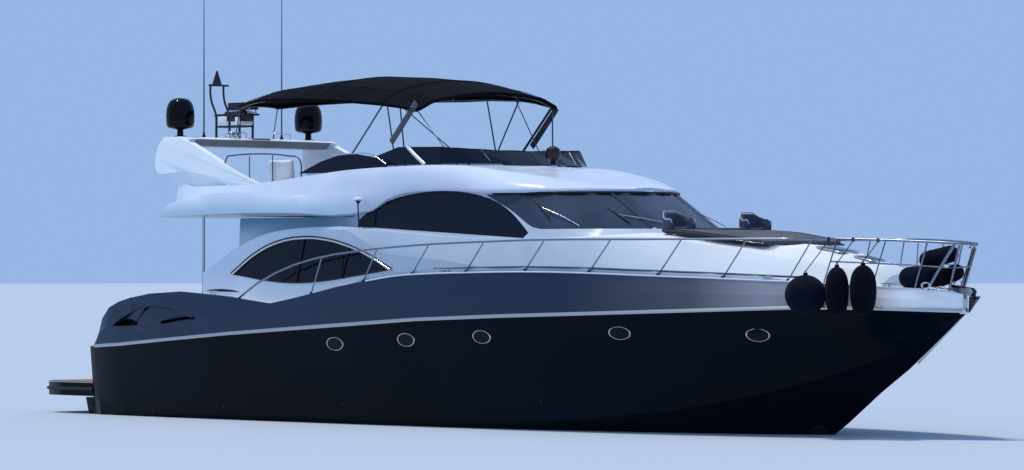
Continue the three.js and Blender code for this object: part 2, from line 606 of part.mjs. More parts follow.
// Canopy poles on each side: foot, x of the head, radius
const POLES = table(['side', 'footX', 'footY', 'footZ', 'headX', 'radius'], [
  [-1, -7420, 470, ARCH_TOP + GAP, -7290, 12], [1, -7420, 470, ARCH_TOP + GAP, -7290, 12],
  [-1, -2900, 1838, 4480, -1890, 15], [-1, -1690, 1560, 4560, -1790, 14],
  [-1, -1440, 1560, 4560, -1450, 14], [-1, -200, 1440, 4560, -1010, 10],
  [-1, 60, 1380, 4570, -1400, 10], [1, -2900, 1838, 4480, -1890, 15],
  [1, -2300, 1580, 4540, -2750, 14], [1, -1000, 1560, 4560, -1980, 10],
  [1, -870, 1560, 4560, -1000, 14], [1, -2000, 1560, 4560, -1020, 24],
]);
const canopyRow = (x) => ({ x, half: at(CANOPY, x, 'half'), edgeZ: at(CANOPY, x, 'edgeZ'),
  crownZ: at(CANOPY, x, 'crownZ'), lift: at(CANOPY, x, 'lift') });

function makeCanopyFrame() {
  const bow = (x) => pipe([-1, -0.91, -0.8, -0.45, 0, 0.45, 0.8, 0.91, 1].map(
    (t) => [x, ...archAt(canopyRow(x), t * 0.955, 66)]), 16, 12);
  const rails = [-1, 1].map((sign) => pipe([-7290, -6600, -5900, -5300, -4700, -3600, -2900, -2100, -1450,
    -1020].map((x) => [x, ...archAt(canopyRow(x), sign * 0.955, 66)]), 14, 13));
  const poles = POLES.map((p) => rod([p.footX, p.side * p.footY, p.footZ],
    [p.headX, ...archAt(canopyRow(p.headX), p.side * 0.955, 66)], p.radius, 6));
  const bows = [-7290, -5600, -3600, -1850, -1020].map(bow);
  const archTop = box([-8100, -7000], [-2000, 2000], [5000, ARCH_TOP + GAP]);
  return join(bows, rails, poles).subtract(join(flyBlank(GAP), canopyUnder(), archTop));
}

const canopyUnder = () => loft(CANOPY.map((row) => {
  const edge = (sign) => [row.x, sign * row.half * 1.1, row.edgeZ + sign * row.lift - 27];
  return [edge(-1), ...ACROSS.map((t) => [row.x, ...archAt(row, t * 0.99, 27)]), edge(1),
    [row.x, row.half * 1.1, 6600], [row.x, -row.half * 1.1, 6600]];
}));

// Rails, mast and domes

// Guard rail posts: x of the foot, and how far forward the head is
const RAIL_POSTS = [[-2860, 190], [-1470, 260], [-230, 350], [1110, 360], [2500, 370], [3900, 380],
  [5270, 380], [6450, 370], [7560, 350]];
function railTop(x) {
  const rows = table(['x', 'z'], [[-4890, 2230], [-4320, 2550], [-3680, 2780], [-2740, 2970],
    [-1570, 3090], [-20, 3180], [1380, 3220], [2850, 3250], [8500, 3240], [10480, 3140]]);
  return at(rows, x, 'z');
}

const belowCap = (raise) => loft(CAP.map(({ x, capZ: z }) => bothSides(x, [[0, 0], [3000, 0],
  [3000, z + raise], [0, z + raise]])));

function makeGuardRail() {
  const railY = (x) => -(capY(x) - 150);
  const xs = [-4300, -3700, -2700, -1500, 0, 1400, 2900, 4300, 5600, 6800, 7900];
  const top = [[-4900, -2560, capZ(-4900) - 30], [-4800, -2530, capZ(-4900) + 90],
    ...xs.map((x) => [x, railY(x), railTop(x)])];
  const posts = RAIL_POSTS.map(([x, lean]) => {
    return rod([x, -(capY(x) - 50), capZ(x) - 20], [x + lean, railY(x + lean), railTop(x + lean)], 13, 6);
  });
  return join(pipe(top, 19, 24), posts).subtract(belowCap(GAP));
}

// Pulpit posts: foot x, head x, head y, head z, radius
const PULPIT = [[8150, 8330, 1010, 3238, 13], [8900, 9120, 720, 3215, 13], [9520, 9760, 440, 3185, 16],
  [9980, 10240, 210, 3155, 26]];

function makePulpit() {
  const foot = ([x], sign) => [x, sign * Math.max(capY(x) - 45, 60), capZ(x) - 15];
  const head = ([, x, y, z], sign) => [x, sign * y, z];
  const mid = (post, sign) => foot(post, sign).map((value, i) => (value + head(post, sign)[i]) / 2);
  const around = (place, tip) => [...PULPIT.map((post) => place(post, -1)), tip,
    ...PULPIT.slice().reverse().map((post) => place(post, 1))];
  const start = (sign) => [7960, sign * 1140, 3242];
  const top = pipe([start(-1), ...around(head, [10425, 0, 3140]), start(1)], 19, 28);
  const low = pipe(around(mid, [10290, 0, 2790]), 12, 22);
  const posts = [-1, 1].flatMap((sign) => PULPIT.map(
    (post) => rod(foot(post, sign), head(post, sign), post[4], 6)));
  return join(top, low, posts).subtract(belowCap(GAP));
}

const DOME = [[0, 0], [130, 0], [130, 18], [62, 34], [62, 140], [205, 162], [258, 225], [270, 370],
  [262, 520], [222, 640], [140, 712], [60, 738], [0, 742]];

// A four-legged frame on the arch, with a hoop at its aft end that carries the masthead light
function makeMast() {
  const [aft, fore] = MAST_X;
  const corners = MAST_X.flatMap((x) => [[x, -MAST_Y], [x, MAST_Y]]);
  const legs = corners.map(([x, y]) => rod([x, y, ARCH_TOP - 40], [x, y, MAST_TOP], 24, 8));
  const rungs = [-1, 1].map((s) => rod([aft, s * MAST_Y, 5510], [fore, s * MAST_Y, 5510], 18, 8));
  const ties = MAST_X.map((x) => rod([x, -MAST_Y, 5510], [x, MAST_Y, 5510], 18, 8));
  const deck = box([aft - 30, fore + 160], [-MAST_Y - 30, MAST_Y + 30], [MAST_TOP - 20, MAST_TOP + 20]);
  const hoop = [-1, 1].map((s) => pipe([[aft, s * MAST_Y, MAST_TOP], [aft - 70, s * MAST_Y, 5860],
    [aft - 150, s * MAST_Y, 6010], [aft - 180, s * MAST_Y, 6160], [aft - 180, s * MAST_Y, 6330]], 22, 10));
  const yard = rod([aft - 180, -MAST_Y - 30, 6320], [aft - 180, MAST_Y + 120, 6320], 20, 8);
  const light = rod([aft - 180, 0, 6300], [aft - 180, 0, 6600], 110, 8, 14);
  const pedestal = rod([RADAR_X, 0, MAST_TOP], [RADAR_X, 0, 5800], 120, 14, 90);
  return onTop(join(legs, rungs, ties, deck, hoop, yard, light, pedestal), makeArch());
}

function makeRadarScanner() {
  const hub = rod([RADAR_X, 0, 5800 + SEAL], [RADAR_X, 0, 5860], 60, 12);
  return join(hub, box([RADAR_X - 350, RADAR_X + 350], [-85, 85], [5820, 5965]));
}

function makeSearchlight() {
  return turned([LIGHT_X, 0, LIGHT_SEAT + SEAL], [[0, 0], [62, 0], [62, 35], [42, 50], [125, 118],
    [145, 205], [115, 295], [50, 338], [0, 342]]);
}

// What is left of a solid above another one that it stands on
const onTop = (solid, base) => largest(solid.subtract(reshaped(base, ([x, y, z]) => [x, y, z + GAP])));

// Running gear
function shaftPoint(forward, side) {
  return [PROPELLER_X + forward * Math.cos(SHAFT_TILT), side * SHAFT_Y,
    PROPELLER_Z + forward * Math.sin(SHAFT_TILT)];
}

function makePropeller() {
  const hub = rod([-160, 0, 0], [110, 0, 0], 78, 14, 66);
  const shaft = rod([80, 0, 0], [4300, 0, 0], 34, 10);
  const blade = prism([[-70, 50], [-120, 190], [-95, 310], [0, PROPELLER_R], [95, 310], [120, 190],
    [70, 50]], 'y', -9, 9);
  const blades = Array.from({ length: 4 }, (_, i) => {
    const turn = (Math.PI / 2) * i;
    return reshaped(blade, ([x, y, z]) => {
      const pitch = THREE.MathUtils.degToRad(62 - 0.09 * z);
      const [px, py] = [x * Math.cos(pitch) - y * Math.sin(pitch), x * Math.sin(pitch) + y * Math.cos(pitch)];
      return [px, py * Math.cos(turn) - z * Math.sin(turn), py * Math.sin(turn) + z * Math.cos(turn)];
    });
  });
  return join(hub, shaft, blades);
}

function makeRudder() {
  const plan = (scale, z) => [[190, 0], [120, 34], [-60, 42], [-380, 6], [-380, -6], [-60, -42],
    [120, -34]].map(([x, y]) => [x * scale - (scale < 1 ? 30 : 0), y * scale, z]);
  const blade = loft([plan(0.8, -1500), plan(1, -1000), plan(1, -560)]);
  return join(blade, rod([0, 0, -600], [0, 0, -300], 30, 12));
}

function makeStrut(side) {
  const [x, y, z] = shaftPoint(420, side);
  const boss = rod(shaftPoint(320, side), shaftPoint(560, side), 62, 14);
  const bore = rod(shaftPoint(200, side), shaftPoint(700, side), 40, 14);
  const leg = (lean, top) => loft([
    [[x - 90, y - 14, z], [x + 90, y - 14, z], [x + 90, y + 14, z], [x - 90, y + 14, z]],
    [[x - 90, y + lean - 14, top], [x + 90, y + lean - 14, top], [x + 90, y + lean + 14, top],
      [x - 90, y + lean + 14, top]],
  ]);
  const whole = join(boss, leg(side * -230, -300), leg(side * 230, -300)).subtract(bore);
  return whole.subtract(hullBelow());
}

function hullBelow() {
  return loft(HULL.map((row) => bothSides(row.x, [[0, row.keelZ - GAP], [row.chineY, row.chineZ - GAP],
    [row.chineY, 500], [0, 500]])));
}

// Furniture and deck gear
function makeSunpad() {
  const rows = [[4750, 1300, 3375], [5400, 1300, 3330], [6070, 1180, 3250], [6700, 980, 3170]];
  return loft(rows.map(([x, y, z]) => bothSides(x, [[0, z - 60], [y, z - 60], [y, z + 55],
    [0, z + 85]]))).subtract(coachroof(GAP, GAP));
}

// A curved shell at each end of a low bench; each shell leans back
function makeBackrests() {
  const shell = (y) => {
    const arc = (radius) => Array.from({ length: 9 }, (_, i) => {
      const turn = Math.PI * (0.6 + (0.8 * i) / 8);
      return [4760 + radius * Math.cos(turn), y + radius * 1.15 * Math.sin(turn)];
    });
    const upright = prism([...arc(300), ...arc(235).reverse()], 'z', 3340, 3745);
    return reshaped(upright, ([x, py, z]) => [x - (z > 3500 ? 45 : 0), py, z]);
  };
  const bench = box([4560, 4730], [-1290, 1290], [3330, 3465]);
  return join(shell(-950), shell(950), bench).subtract(join(coachroof(GAP, GAP), houseBody(-5, 2000)));
}

function makeFlySeating() {
  const base = FLY_SOLE_Z + GAP;
  return join(
    box([-6000, -3300], [-1810, -1250], [base, 4240]),
    box([-6001, -5400], [-1810, 500], [base, 4240]),
    box([-6000, -3300], [-1810, -1700], [base, 4300]),
    box([-3301, -2750], [-1810, -1250], [base, 4240]),
  );
}

// The desk with its wheel, and the seat, on one raised sole
function makeFlyHelm() {
  const base = FLY_SOLE_Z + GAP;
  const sole = box([-2380, -760], [-1300, -100], [base, base + 40]);
  const desk = prism([[-1450, base], [-760, base], [-760, 4640], [-1000, 4720], [-1300, 4560],
    [-1450, 4300]], 'y', -1300, 200);
  const wheel = rod([-1400, -700, 4560], [-1370, -700, 4590], 190, 14);
  const seat = join(box([-2380, -1950], [-1150, -250], [base, 4300]),
    box([-2385, -2270], [-1150, -250], [4299, 4800]));
  return join(sole, desk, wheel, seat);
}

function makeCockpitSettee() {
  const base = SOLE_Z + GAP;
  return join(
    box([WELL_AFT_X + 1, -7600], [-1240, 1240], [base, 1900]),
    box([WELL_AFT_X + 1, -8050], [-1240, 1240], [1899, 2230]),
  );
}

function makeTable([x, y], base, height, [length, width]) {
  return join(
    box([x - length / 2, x + length / 2], [y - width / 2, y + width / 2],
      [base + height - 40, base + height]),
    rod([x, y, base], [x, y, base + height - 20], 55, 10),
    rod([x, y, base], [x, y, base + 25], 190, 14),
  );
}

// Sofa to starboard and galley to port, on one board
function makeSaloonFurniture() {
  const base = SOLE_Z + GAP;
  return join(
    box([-4750, -1500], [-1790, 1790], [base, base + 30]),
    box([-4700, -1700], [-1780, -1050], [base, 1900]),
    box([-4700, -1700], [-1780, -1550], [1899, 2350]),
    box([-4700, -1500], [1100, 1780], [base, 2350]),
  );
}

function makeLowerHelm() {
  const base = HELM_SOLE_Z + GAP;
  return join(
    box([-850, 600], [-1300, -400], [base, base + 30]),
    prism([[500, base], [1480, base], [1480, 3240], [1100, 3300], [700, 3150], [500, 2900]], 'y',
      -1700, 1700),
    rod([480, -850, 2980], [440, -850, 3010], 190, 14),
    rod([700, -850, 2850], [450, -850, 2995], 30, 8),
    box([-800, -250], [-1300, -500], [base, 2650]),
    box([-800, -680], [-1300, -500], [2649, 3250]),
  );
}

function makeBulkhead() {
  const wall = box([BULKHEAD_X + GAP, BULKHEAD_X + 50], [-WELL_Y + 1, WELL_Y - 1], [SOLE_Z + GAP, 3638]);
  const opening = box([BULKHEAD_X - 10, BULKHEAD_X + 100], [-1000, 300], [SOLE_Z + 60, 3480]);
  const light = box([BULKHEAD_X - 10, BULKHEAD_X + 100], [420, 1650], [2000, 3480]);
  return wall.subtract(join(opening, light));
}

function makeSlidingDoor() {
  return box([BULKHEAD_X + 58, BULKHEAD_X + 88], [-1050, 350], [SOLE_Z + 30, 3500]);
}

// Steep stair from the cockpit up through the flybridge's stairwell
function makeFlyStair() {
  const [base, top, steps] = [SOLE_Z + GAP, 3780, 8];
  const stringers = [745, 1425].map((y) => prism([[-5560, base], [-5800, base], [-6985, top],
    [-6760, top]], 'y', y, y + 30));
  const treads = Array.from({ length: steps }, (_, i) => {
    const climb = (i + 1) / (steps + 1);
    const [x, z] = [-5680 - 1190 * climb, base + (top - base) * climb];
    return box([x - 120, x + 110], [750, 1450], [z - 35, z]);
  });
  return join(stringers, treads);
}

function makePlatform() {
  const half = [[TRANSOM_X - 3, 0], [TRANSOM_X - 3, 2200], [-10600, 2170], [-11080, 2090], [-11260, 1960],
    [-11350, 1750], [PLATFORM_AFT_X, 1300], [PLATFORM_AFT_X, 0]];
  const outline = [...half, ...half.slice(1, -1).reverse().map(([x, y]) => [x, -y])];
  return prism(outline, 'z', ...PLATFORM_Z);
}

function makeWindlass() {
  const profile = [[0, 0], [100, 0], [100, 45], [70, 60], [55, 100], [70, 140], [70, 160], [0, 165]];
  return onTop(turned([9240, 45, deckTop(9240) - 15], profile), largest(makeDeck()));
}

function makeGarageDoor() {
  return box([TRANSOM_X - 50, TRANSOM_X - SEAL], [-1100, 1100], [660, 1285]);
}

// Fenders, each hanging from a rail by a taut line: its centre, radius, half length and the line's head
const FENDERS = table(['name', 'x', 'y', 'z', 'radius', 'half', 'headX', 'headY', 'headZ'], [
  ['ball', 8180, -1615, 2330, 336, 345, 8180, -1066, 3205],
  ['pear_aft', 8640, -1370, 2390, 193, 420, 8600, -945, 3195],
  ['pear_forward', 9045, -1195, 2410, 217, 430, 9000, -790, 3180],
]);

function makeFender({ x, y, z, radius, half, headX, headY, headZ }) {
  const count = 10;
  const profile = Array.from({ length: count + 1 }, (_, i) => {
    const turn = (Math.PI * i) / count;
    const taper = i > count / 2 ? 0.9 : 1.05;
    return [radius * Math.sin(turn) ** (half > radius * 1.5 ? 0.65 * taper : 1), -half * Math.cos(turn)];
  });
  profile[0][0] = 0;
  profile[count][0] = 0;
  const line = rod([x, y, z + half * 0.9], [headX, headY, headZ], 9, 6);
  return join(turned([x, y, z], profile, 16), line);
}

// Fenders stowed in the bow rail: ends of each one's axis, and radius
const STOWED = table(['fromX', 'fromY', 'fromZ', 'toX', 'toY', 'toZ', 'radius'], [
  [9290, -320, 2605, 9780, -215, 2640, 185],
  [9560, -190, 2900, 9960, -120, 2985, 145],
  [9640, 60, 2600, 9960, 20, 2690, 140],
]);

function makeStowedFenders() {
  const fenders = STOWED.map((row) => {
    const [from, to] = [[row.fromX, row.fromY, row.fromZ], [row.toX, row.toY, row.toZ]];
    const end = ([x, y, z]) => solidOf(new THREE.SphereGeometry(row.radius, 10, 6).translate(x, y, z));
    return join(end(from), end(to), rod(from, to, row.radius * 0.97, 10));
  });
  return join(fenders);
}

function makeAnchor() {
  const shank = prism([[9850, 2500], [10340, 2440], [10420, 2250], [10350, 2235], [10290, 2380],
    [9850, 2455]], 'y', -18, 18);
  const fluke = loft([
    [[10380, -150, 2300], [10400, 0, 2240], [10380, 150, 2300], [10400, 0, 2310]],
    [[10260, -20, 2050], [10270, 0, 2040], [10260, 20, 2050], [10280, 0, 2060]],
  ]);
  return join(shank, fluke).subtract(rod([10330, -61, 2350], [10330, 61, 2350], 28, 10));
}

function makeRoller() {
  const cheeks = [-1, 1].map((s) => prism([[9900, 2440], [10320, 2440], [10380, 2380], [10330, 2300],
    [10190, 2345], [9900, 2402]], 'y', ...[s * 45, s * 57].sort((a, b) => a - b)));
  return join(cheeks, rod([10330, -60, 2350], [10330, 60, 2350], 26, 10));
}

const hullBlank = (grow) => loft(HULL.map((row) => hullRing({
  ...row, railY: row.railY + 8 * grow, chineY: row.chineY + 8 * grow, railZ: row.railZ + grow,
})));
const bandBlank = (grow) => loft(bandStations.map((x) => bothSides(x,
  [...bandOutside(x, grow), [0, capZ(x) + grow]])));

const group = new THREE.Group();
function add(name, solid, colour, roughness, metalness, position = [0, 0, 0], tilt = 0) {
  const material = new THREE.MeshStandardMaterial({ color: colour, roughness, metalness });
  const mesh = new THREE.Mesh(geometryOf(solid), material);
  mesh.name = name;
  mesh.position.set(...position);
  mesh.rotation.y = tilt;
  group.add(mesh);
}

const GELCOAT = ['#c9dcec', 0.25, 0.1];
const BLACK_GELCOAT = ['#0b1626', 0.15, 0.1];
const BAND_GREY = ['#2b3346', 0.3, 0.4];
const STEEL = ['#c8ccd0', 0.2, 1];
const TINTED = ['#1b2028', 0.05, 0];
const BLACK_CLOTH = ['#101218', 0.9, 0];
const GREY_CLOTH = ['#55585e', 0.9, 0];
const BRONZE = ['#a5793f', 0.35, 1];
const TEAK = ['#8a6a48', 0.7, 0];
const WHITE = ['#eef0f2', 0.4, 0];
const BLACK_PAINT = ['#0d0e10', 0.4, 0];

const side = (solid, starboardSide) => (starboardSide ? solid : mirrored(solid));

add('hull', makeHull(), ...BLACK_GELCOAT);
add('topside_band', makeBand(), ...BAND_GREY);
add('rub_rail', makeRubRail().subtract(join(hullBlank(GAP), bandBlank(GAP))), ...STEEL);
add('deck', largest(makeDeck()), ...GELCOAT);
add('deckhouse', largest(makeDeckhouse()), ...GELCOAT);
add('saloon_bulkhead', makeBulkhead(), ...GELCOAT);
add('saloon_door', makeSlidingDoor(), ...TINTED);
['starboard', 'centre', 'port'].forEach((place) => {
  add(`windscreen_${place}`, makeWindscreen(place), ...TINTED);
});
add('flybridge', largest(makeFlybridge()), ...GELCOAT);
add('radar_arch', makeArch(), ...GELCOAT);
add('fly_windscreen', makeFlyScreen(), ...TINTED);
add('bimini_canopy', makeCanopy(), ...BLACK_CLOTH);
add('bimini_frame', makeCanopyFrame(), ...STEEL);
add('mast_frame', makeMast(), ...BLACK_PAINT);
add('radar_scanner', makeRadarScanner(), ...BLACK_PAINT);
add('searchlight', makeSearchlight(), ...BLACK_PAINT);
add('pulpit_rail', makePulpit(), ...STEEL);
add('swim_platform', makePlatform(), ...BLACK_GELCOAT);
add('garage_door', makeGarageDoor(), ...BLACK_GELCOAT);
add('anchor_locker_lid', makeLockerLid(), ...GELCOAT);
add('foredeck_sunpad', makeSunpad(), ...GREY_CLOTH);
add('foredeck_backrests', makeBackrests(), ...GREY_CLOTH);
add('fly_seating', makeFlySeating(), ...WHITE);
add('fly_helm', makeFlyHelm(), ...WHITE);
add('fly_stair', makeFlyStair(), ...STEEL);
add('cockpit_settee', makeCockpitSettee(), ...WHITE);
add('cockpit_table', makeTable([-7000, 0], SOLE_Z + GAP, 700, [800, 1300]), ...TEAK);
add('saloon_furniture', makeSaloonFurniture(), ...TEAK);
add('lower_helm', makeLowerHelm(), ...BLACK_PAINT);
add('windlass', makeWindlass(), ...STEEL);
add('anchor', makeAnchor(), ...BLACK_PAINT);
add('anchor_roller', makeRoller(), ...STEEL);
FENDERS.forEach((row) => add(`fender_${row.name}`, makeFender(row), ...BLACK_CLOTH));
add('stowed_fenders', makeStowedFenders(), ...BLACK_CLOTH);

['starboard', 'port'].forEach((place, i) => {
  const [sign, right] = [i ? 1 : -1, i === 0];
  const window = glassSkin().intersect(prism(shrunk(SIDE_WINDOW, 12), 'y', -3000, -1000));
  add(`side_window_${place}`, side(largest(window), right), ...TINTED);
  add(`aft_surround_${place}`, side(makeSurround(), right), ...GELCOAT);
  add(`aft_window_${place}`, side(prism(shrunk(AFT_WINDOW, 14), 'y', -2205, -2190), right), ...TINTED);
  add(`fly_side_pane_${place}`, side(makeSidePane(), right), ...TINTED);
  add(`guard_rail_${place}`, side(makeGuardRail(), right), ...STEEL);
  add(`radome_${place}`, turned([-7690, sign * 1607, ARCH_TOP + GAP], DOME), ...BLACK_PAINT);
  add(`antenna_${place}`, rod([-7750, sign * 975, ARCH_TOP + GAP], [-7750, sign * 975, 8700], 16, 8, 5),
    ...WHITE);
  const post = rod([-6420, sign * 2090, 2200], [-6420, sign * 2090, 3729.6], 28, 10);
  add(`overhang_post_${place}`, post.subtract(belowDeck(GAP)), ...STEEL);
  add(`propeller_${place}`, makePropeller(), ...BRONZE,
    [PROPELLER_X, sign * SHAFT_Y, PROPELLER_Z], -SHAFT_TILT);
  add(`rudder_${place}`, makeRudder(), ...BRONZE, [RUDDER_X, sign * SHAFT_Y, 0]);
  add(`shaft_strut_${place}`, makeStrut(sign), ...BRONZE);
});

export default group;
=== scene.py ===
"""Flybridge motor yacht afloat: the finishes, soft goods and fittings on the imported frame."""

import json
import math

import bmesh
import bpy
from mathutils import Matrix, Vector
from mathutils.bvhtree import BVHTree


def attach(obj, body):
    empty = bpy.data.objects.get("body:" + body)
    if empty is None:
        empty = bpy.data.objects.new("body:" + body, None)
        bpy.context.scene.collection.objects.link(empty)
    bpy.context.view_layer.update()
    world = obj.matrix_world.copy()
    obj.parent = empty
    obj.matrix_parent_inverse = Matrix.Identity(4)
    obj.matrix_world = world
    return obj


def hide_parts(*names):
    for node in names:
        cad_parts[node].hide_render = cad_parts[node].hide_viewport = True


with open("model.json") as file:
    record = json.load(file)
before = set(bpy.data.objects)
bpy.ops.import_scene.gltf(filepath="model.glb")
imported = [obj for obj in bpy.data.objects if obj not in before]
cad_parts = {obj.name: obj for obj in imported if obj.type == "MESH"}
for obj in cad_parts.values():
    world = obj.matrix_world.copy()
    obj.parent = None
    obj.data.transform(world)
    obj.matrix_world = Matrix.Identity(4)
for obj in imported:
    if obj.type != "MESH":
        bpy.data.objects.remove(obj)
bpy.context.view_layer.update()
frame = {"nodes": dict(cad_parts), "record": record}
nodes = frame["nodes"]
scene = bpy.context.scene


# Camera, lights and floor
CAMERA_PLACE = Vector((53.756, -52.227, 2.6))
CAMERA_BEARING = math.radians(46.0)
PICTURE_WIDTH, FOCAL_PIXELS, HORIZON_BELOW_MIDDLE = 1024, 4200, 43
FILM_WIDTH = 36
CAMERA_PITCH = math.atan(HORIZON_BELOW_MIDDLE / FOCAL_PIXELS)
LENS = FOCAL_PIXELS / PICTURE_WIDTH * FILM_WIDTH
NEAR, FAR = 1, 6000
TOWARD_SUN = Vector((-0.26, -0.12, 0.95))
SUN_STRENGTH, SUN_BREADTH, SUN_COLOUR = 2.6, 0.12, (1.0, 0.94, 0.84)
SKY = (0.31, 0.47, 0.78)
FLOOR = (0.44, 0.5, 0.58)
FLOOR_HALF = 1500


def set_the_stage():
    """Camera at the photograph's angle, one soft sun, a plain sky and a plain floor at the waterline."""
    camera = bpy.data.cameras.new("camera")
    camera.lens = LENS
    camera.sensor_width = FILM_WIDTH
    camera.clip_start, camera.clip_end = NEAR, FAR
    view = bpy.data.objects.new("camera", camera)
    view.location = CAMERA_PLACE
    view.rotation_euler = (math.pi / 2 + CAMERA_PITCH, 0, CAMERA_BEARING)
    scene.collection.objects.link(view)
    scene.camera = view

    sun = bpy.data.lights.new("sun", "SUN")
    sun.energy, sun.angle, sun.color = SUN_STRENGTH, SUN_BREADTH, SUN_COLOUR
    sun_at = bpy.data.objects.new("sun", sun)
    sun_at.rotation_euler = TOWARD_SUN.to_track_quat("Z", "Y").to_euler()
    scene.collection.objects.link(sun_at)

    world = bpy.data.worlds.new("studio")
    world.use_nodes = True
    backdrop = world.node_tree.nodes["Background"]
    backdrop.inputs["Color"].default_value = (*SKY, 1)
    backdrop.inputs["Strength"].default_value = 1.0
    scene.world = world

    bm = bmesh.new()
    bmesh.ops.create_grid(bm, x_segments=1, y_segments=1, size=FLOOR_HALF)
    mesh = bpy.data.meshes.new("floor")
    bm.to_mesh(mesh)
    bm.free()
    floor = bpy.data.objects.new("floor", mesh)
    scene.collection.objects.link(floor)
    plain = bpy.data.materials.new("floor")
    plain.use_nodes = True
    shader = plain.node_tree.nodes["Principled BSDF"]
    shader.inputs["Base Color"].default_value = (*FLOOR, 1)
    shader.inputs["Roughness"].default_value = 0.9
    shader.inputs["Specular IOR Level"].default_value = 0.1
    mesh.materials.append(plain)
    scene.view_settings.view_transform = "Standard"


set_the_stage()


# Finishes
def colour(red, green, blue):
    """A linear colour from the eight-bit values the eye sees."""
    return tuple((v / 255 / 12.92) if v < 11 else ((v / 255 + 0.055) / 1.055) ** 2.4
                 for v in (red, green, blue)) + (1,)


class Surface:
    """A node material built step by step round one principled shader."""

    def __init__(self, name, base, roughness, metallic=0.0, specular=0.5, **sockets):
        self.material = bpy.data.materials.new(name)
        self.material.use_nodes = True
        self.tree = self.material.node_tree
        self.shader = self.tree.nodes["Principled BSDF"]
        self.set(self.shader, {"Base Color": base, "Roughness": roughness, "Metallic": metallic,
                               "Specular IOR Level": specular, **sockets})
        self.coords = self.tree.nodes.new("ShaderNodeTexCoord").outputs["Object"]

    def set(self, node, values):
        """Puts numbers on sockets, or links them to other sockets."""
        for socket, value in values.items():
            target = node.inputs[socket]
            if isinstance(value, bpy.types.NodeSocket):
                self.tree.links.new(value, target)
            else:
                target.default_value = value

    def node(self, kind, props=None, **values):
        """A shader node with its properties and its sockets' values; an underscore stands for a space."""
        node = self.tree.nodes.new("ShaderNode" + kind)
        for name, value in (props or {}).items():
            setattr(node, name, value)
        self.set(node, {key.replace("_", " "): value for key, value in values.items()})
        return node

    def noise(self, scale, detail=3.0, stretch=(1, 1, 1)):
        """Cloudy noise over the piece, 0 to 1."""
        mapping = self.node("Mapping", Vector=self.coords, Scale=stretch)
        return self.node("TexNoise", Vector=mapping.outputs[0], Scale=scale, Detail=detail).outputs["Fac"]

    def wave(self, scale, axis, distortion=0.0, stretch=(1, 1, 1)):
        """Bands across an axis, 0 to 1."""
        mapping = self.node("Mapping", Vector=self.coords, Scale=stretch)
        props = {"wave_type": "BANDS", "bands_direction": axis, "wave_profile": "SIN"}
        return self.node("TexWave", props, Vector=mapping.outputs[0], Scale=scale,
                         Distortion=distortion).outputs["Fac"]

    def cells(self, scale):
        """Distance to the middle of each of many small cells."""
        return self.node("TexVoronoi", Vector=self.coords, Scale=scale).outputs["Distance"]

    def along(self, axis):
        """The place along an axis, in metres."""
        return self.node("SeparateXYZ", Vector=self.coords).outputs[axis]

    def normal(self, axis):
        """How far the surface faces along an axis, -1 to 1."""
        split = self.node("SeparateXYZ", Vector=self.node("NewGeometry").outputs["Normal"])
        return split.outputs[axis]

    def between(self, value, low, high, to_low=0.0, to_high=1.0):
        """A value taken from one span to another, and held at its ends."""
        node = self.node("MapRange", Value=value)
        for name, number in (("From Min", low), ("From Max", high), ("To Min", to_low), ("To Max", to_high)):
            node.inputs[name].default_value = number
        return node.outputs[0]

    def maths(self, operation, a, b=0.0):
        """Arithmetic on numbers or sockets."""
        node = self.node("Math", {"operation": operation})
        for socket, value in zip(node.inputs, (a, b)):
            if isinstance(value, bpy.types.NodeSocket):
                self.tree.links.new(value, socket)
            else:
                socket.default_value = value
        return node.outputs[0]

    def mix(self, factor, a, b):
        """One colour, or as the factor grows the other."""
        node = self.node("MixRGB")
        self.set(node, {"Fac": factor, "Color1": a, "Color2": b})
        return node.outputs[0]

    def tint(self, value):
        """Gives the shader its colour."""
        self.tree.links.new(value, self.shader.inputs["Base Color"])
        return self

    def rough(self, value):
        """Gives the shader its roughness."""
        self.tree.links.new(value, self.shader.inputs["Roughness"])
        return self

    def mottle(self, scale, detail, low, high, span=(0.35, 0.65)):
        """Two tones in soft patches."""
        return self.mix(self.between(self.noise(scale, detail), *span), colour(*low), colour(*high))

    def bump(self, height, distance, strength=1.0):
        """Gives the shader a fine relief."""
        node = self.node("Bump", Height=height, Distance=distance, Strength=strength)
        self.tree.links.new(node.outputs[0], self.shader.inputs["Normal"])
        return self


TEAK_PLANKS = 13.0


def teak(surface):
    """Planks of teak that run fore and aft, and the dark seams between them."""
    grain = surface.noise(6, 6, (0.25, 5, 1))
    wood = surface.mix(grain, colour(120, 88, 62), colour(176, 138, 104))
    seam = surface.between(surface.wave(TEAK_PLANKS, "Y"), 0.03, 0.0)
    return surface.mix(seam, wood, colour(24, 20, 18)), seam


# The hull's wells are planked where they face up from here, and the band's up to here
HULL_PLANKED_FROM = (1.40, 1.42)
BAND_PLANKED_TO = (1.47, 1.46)


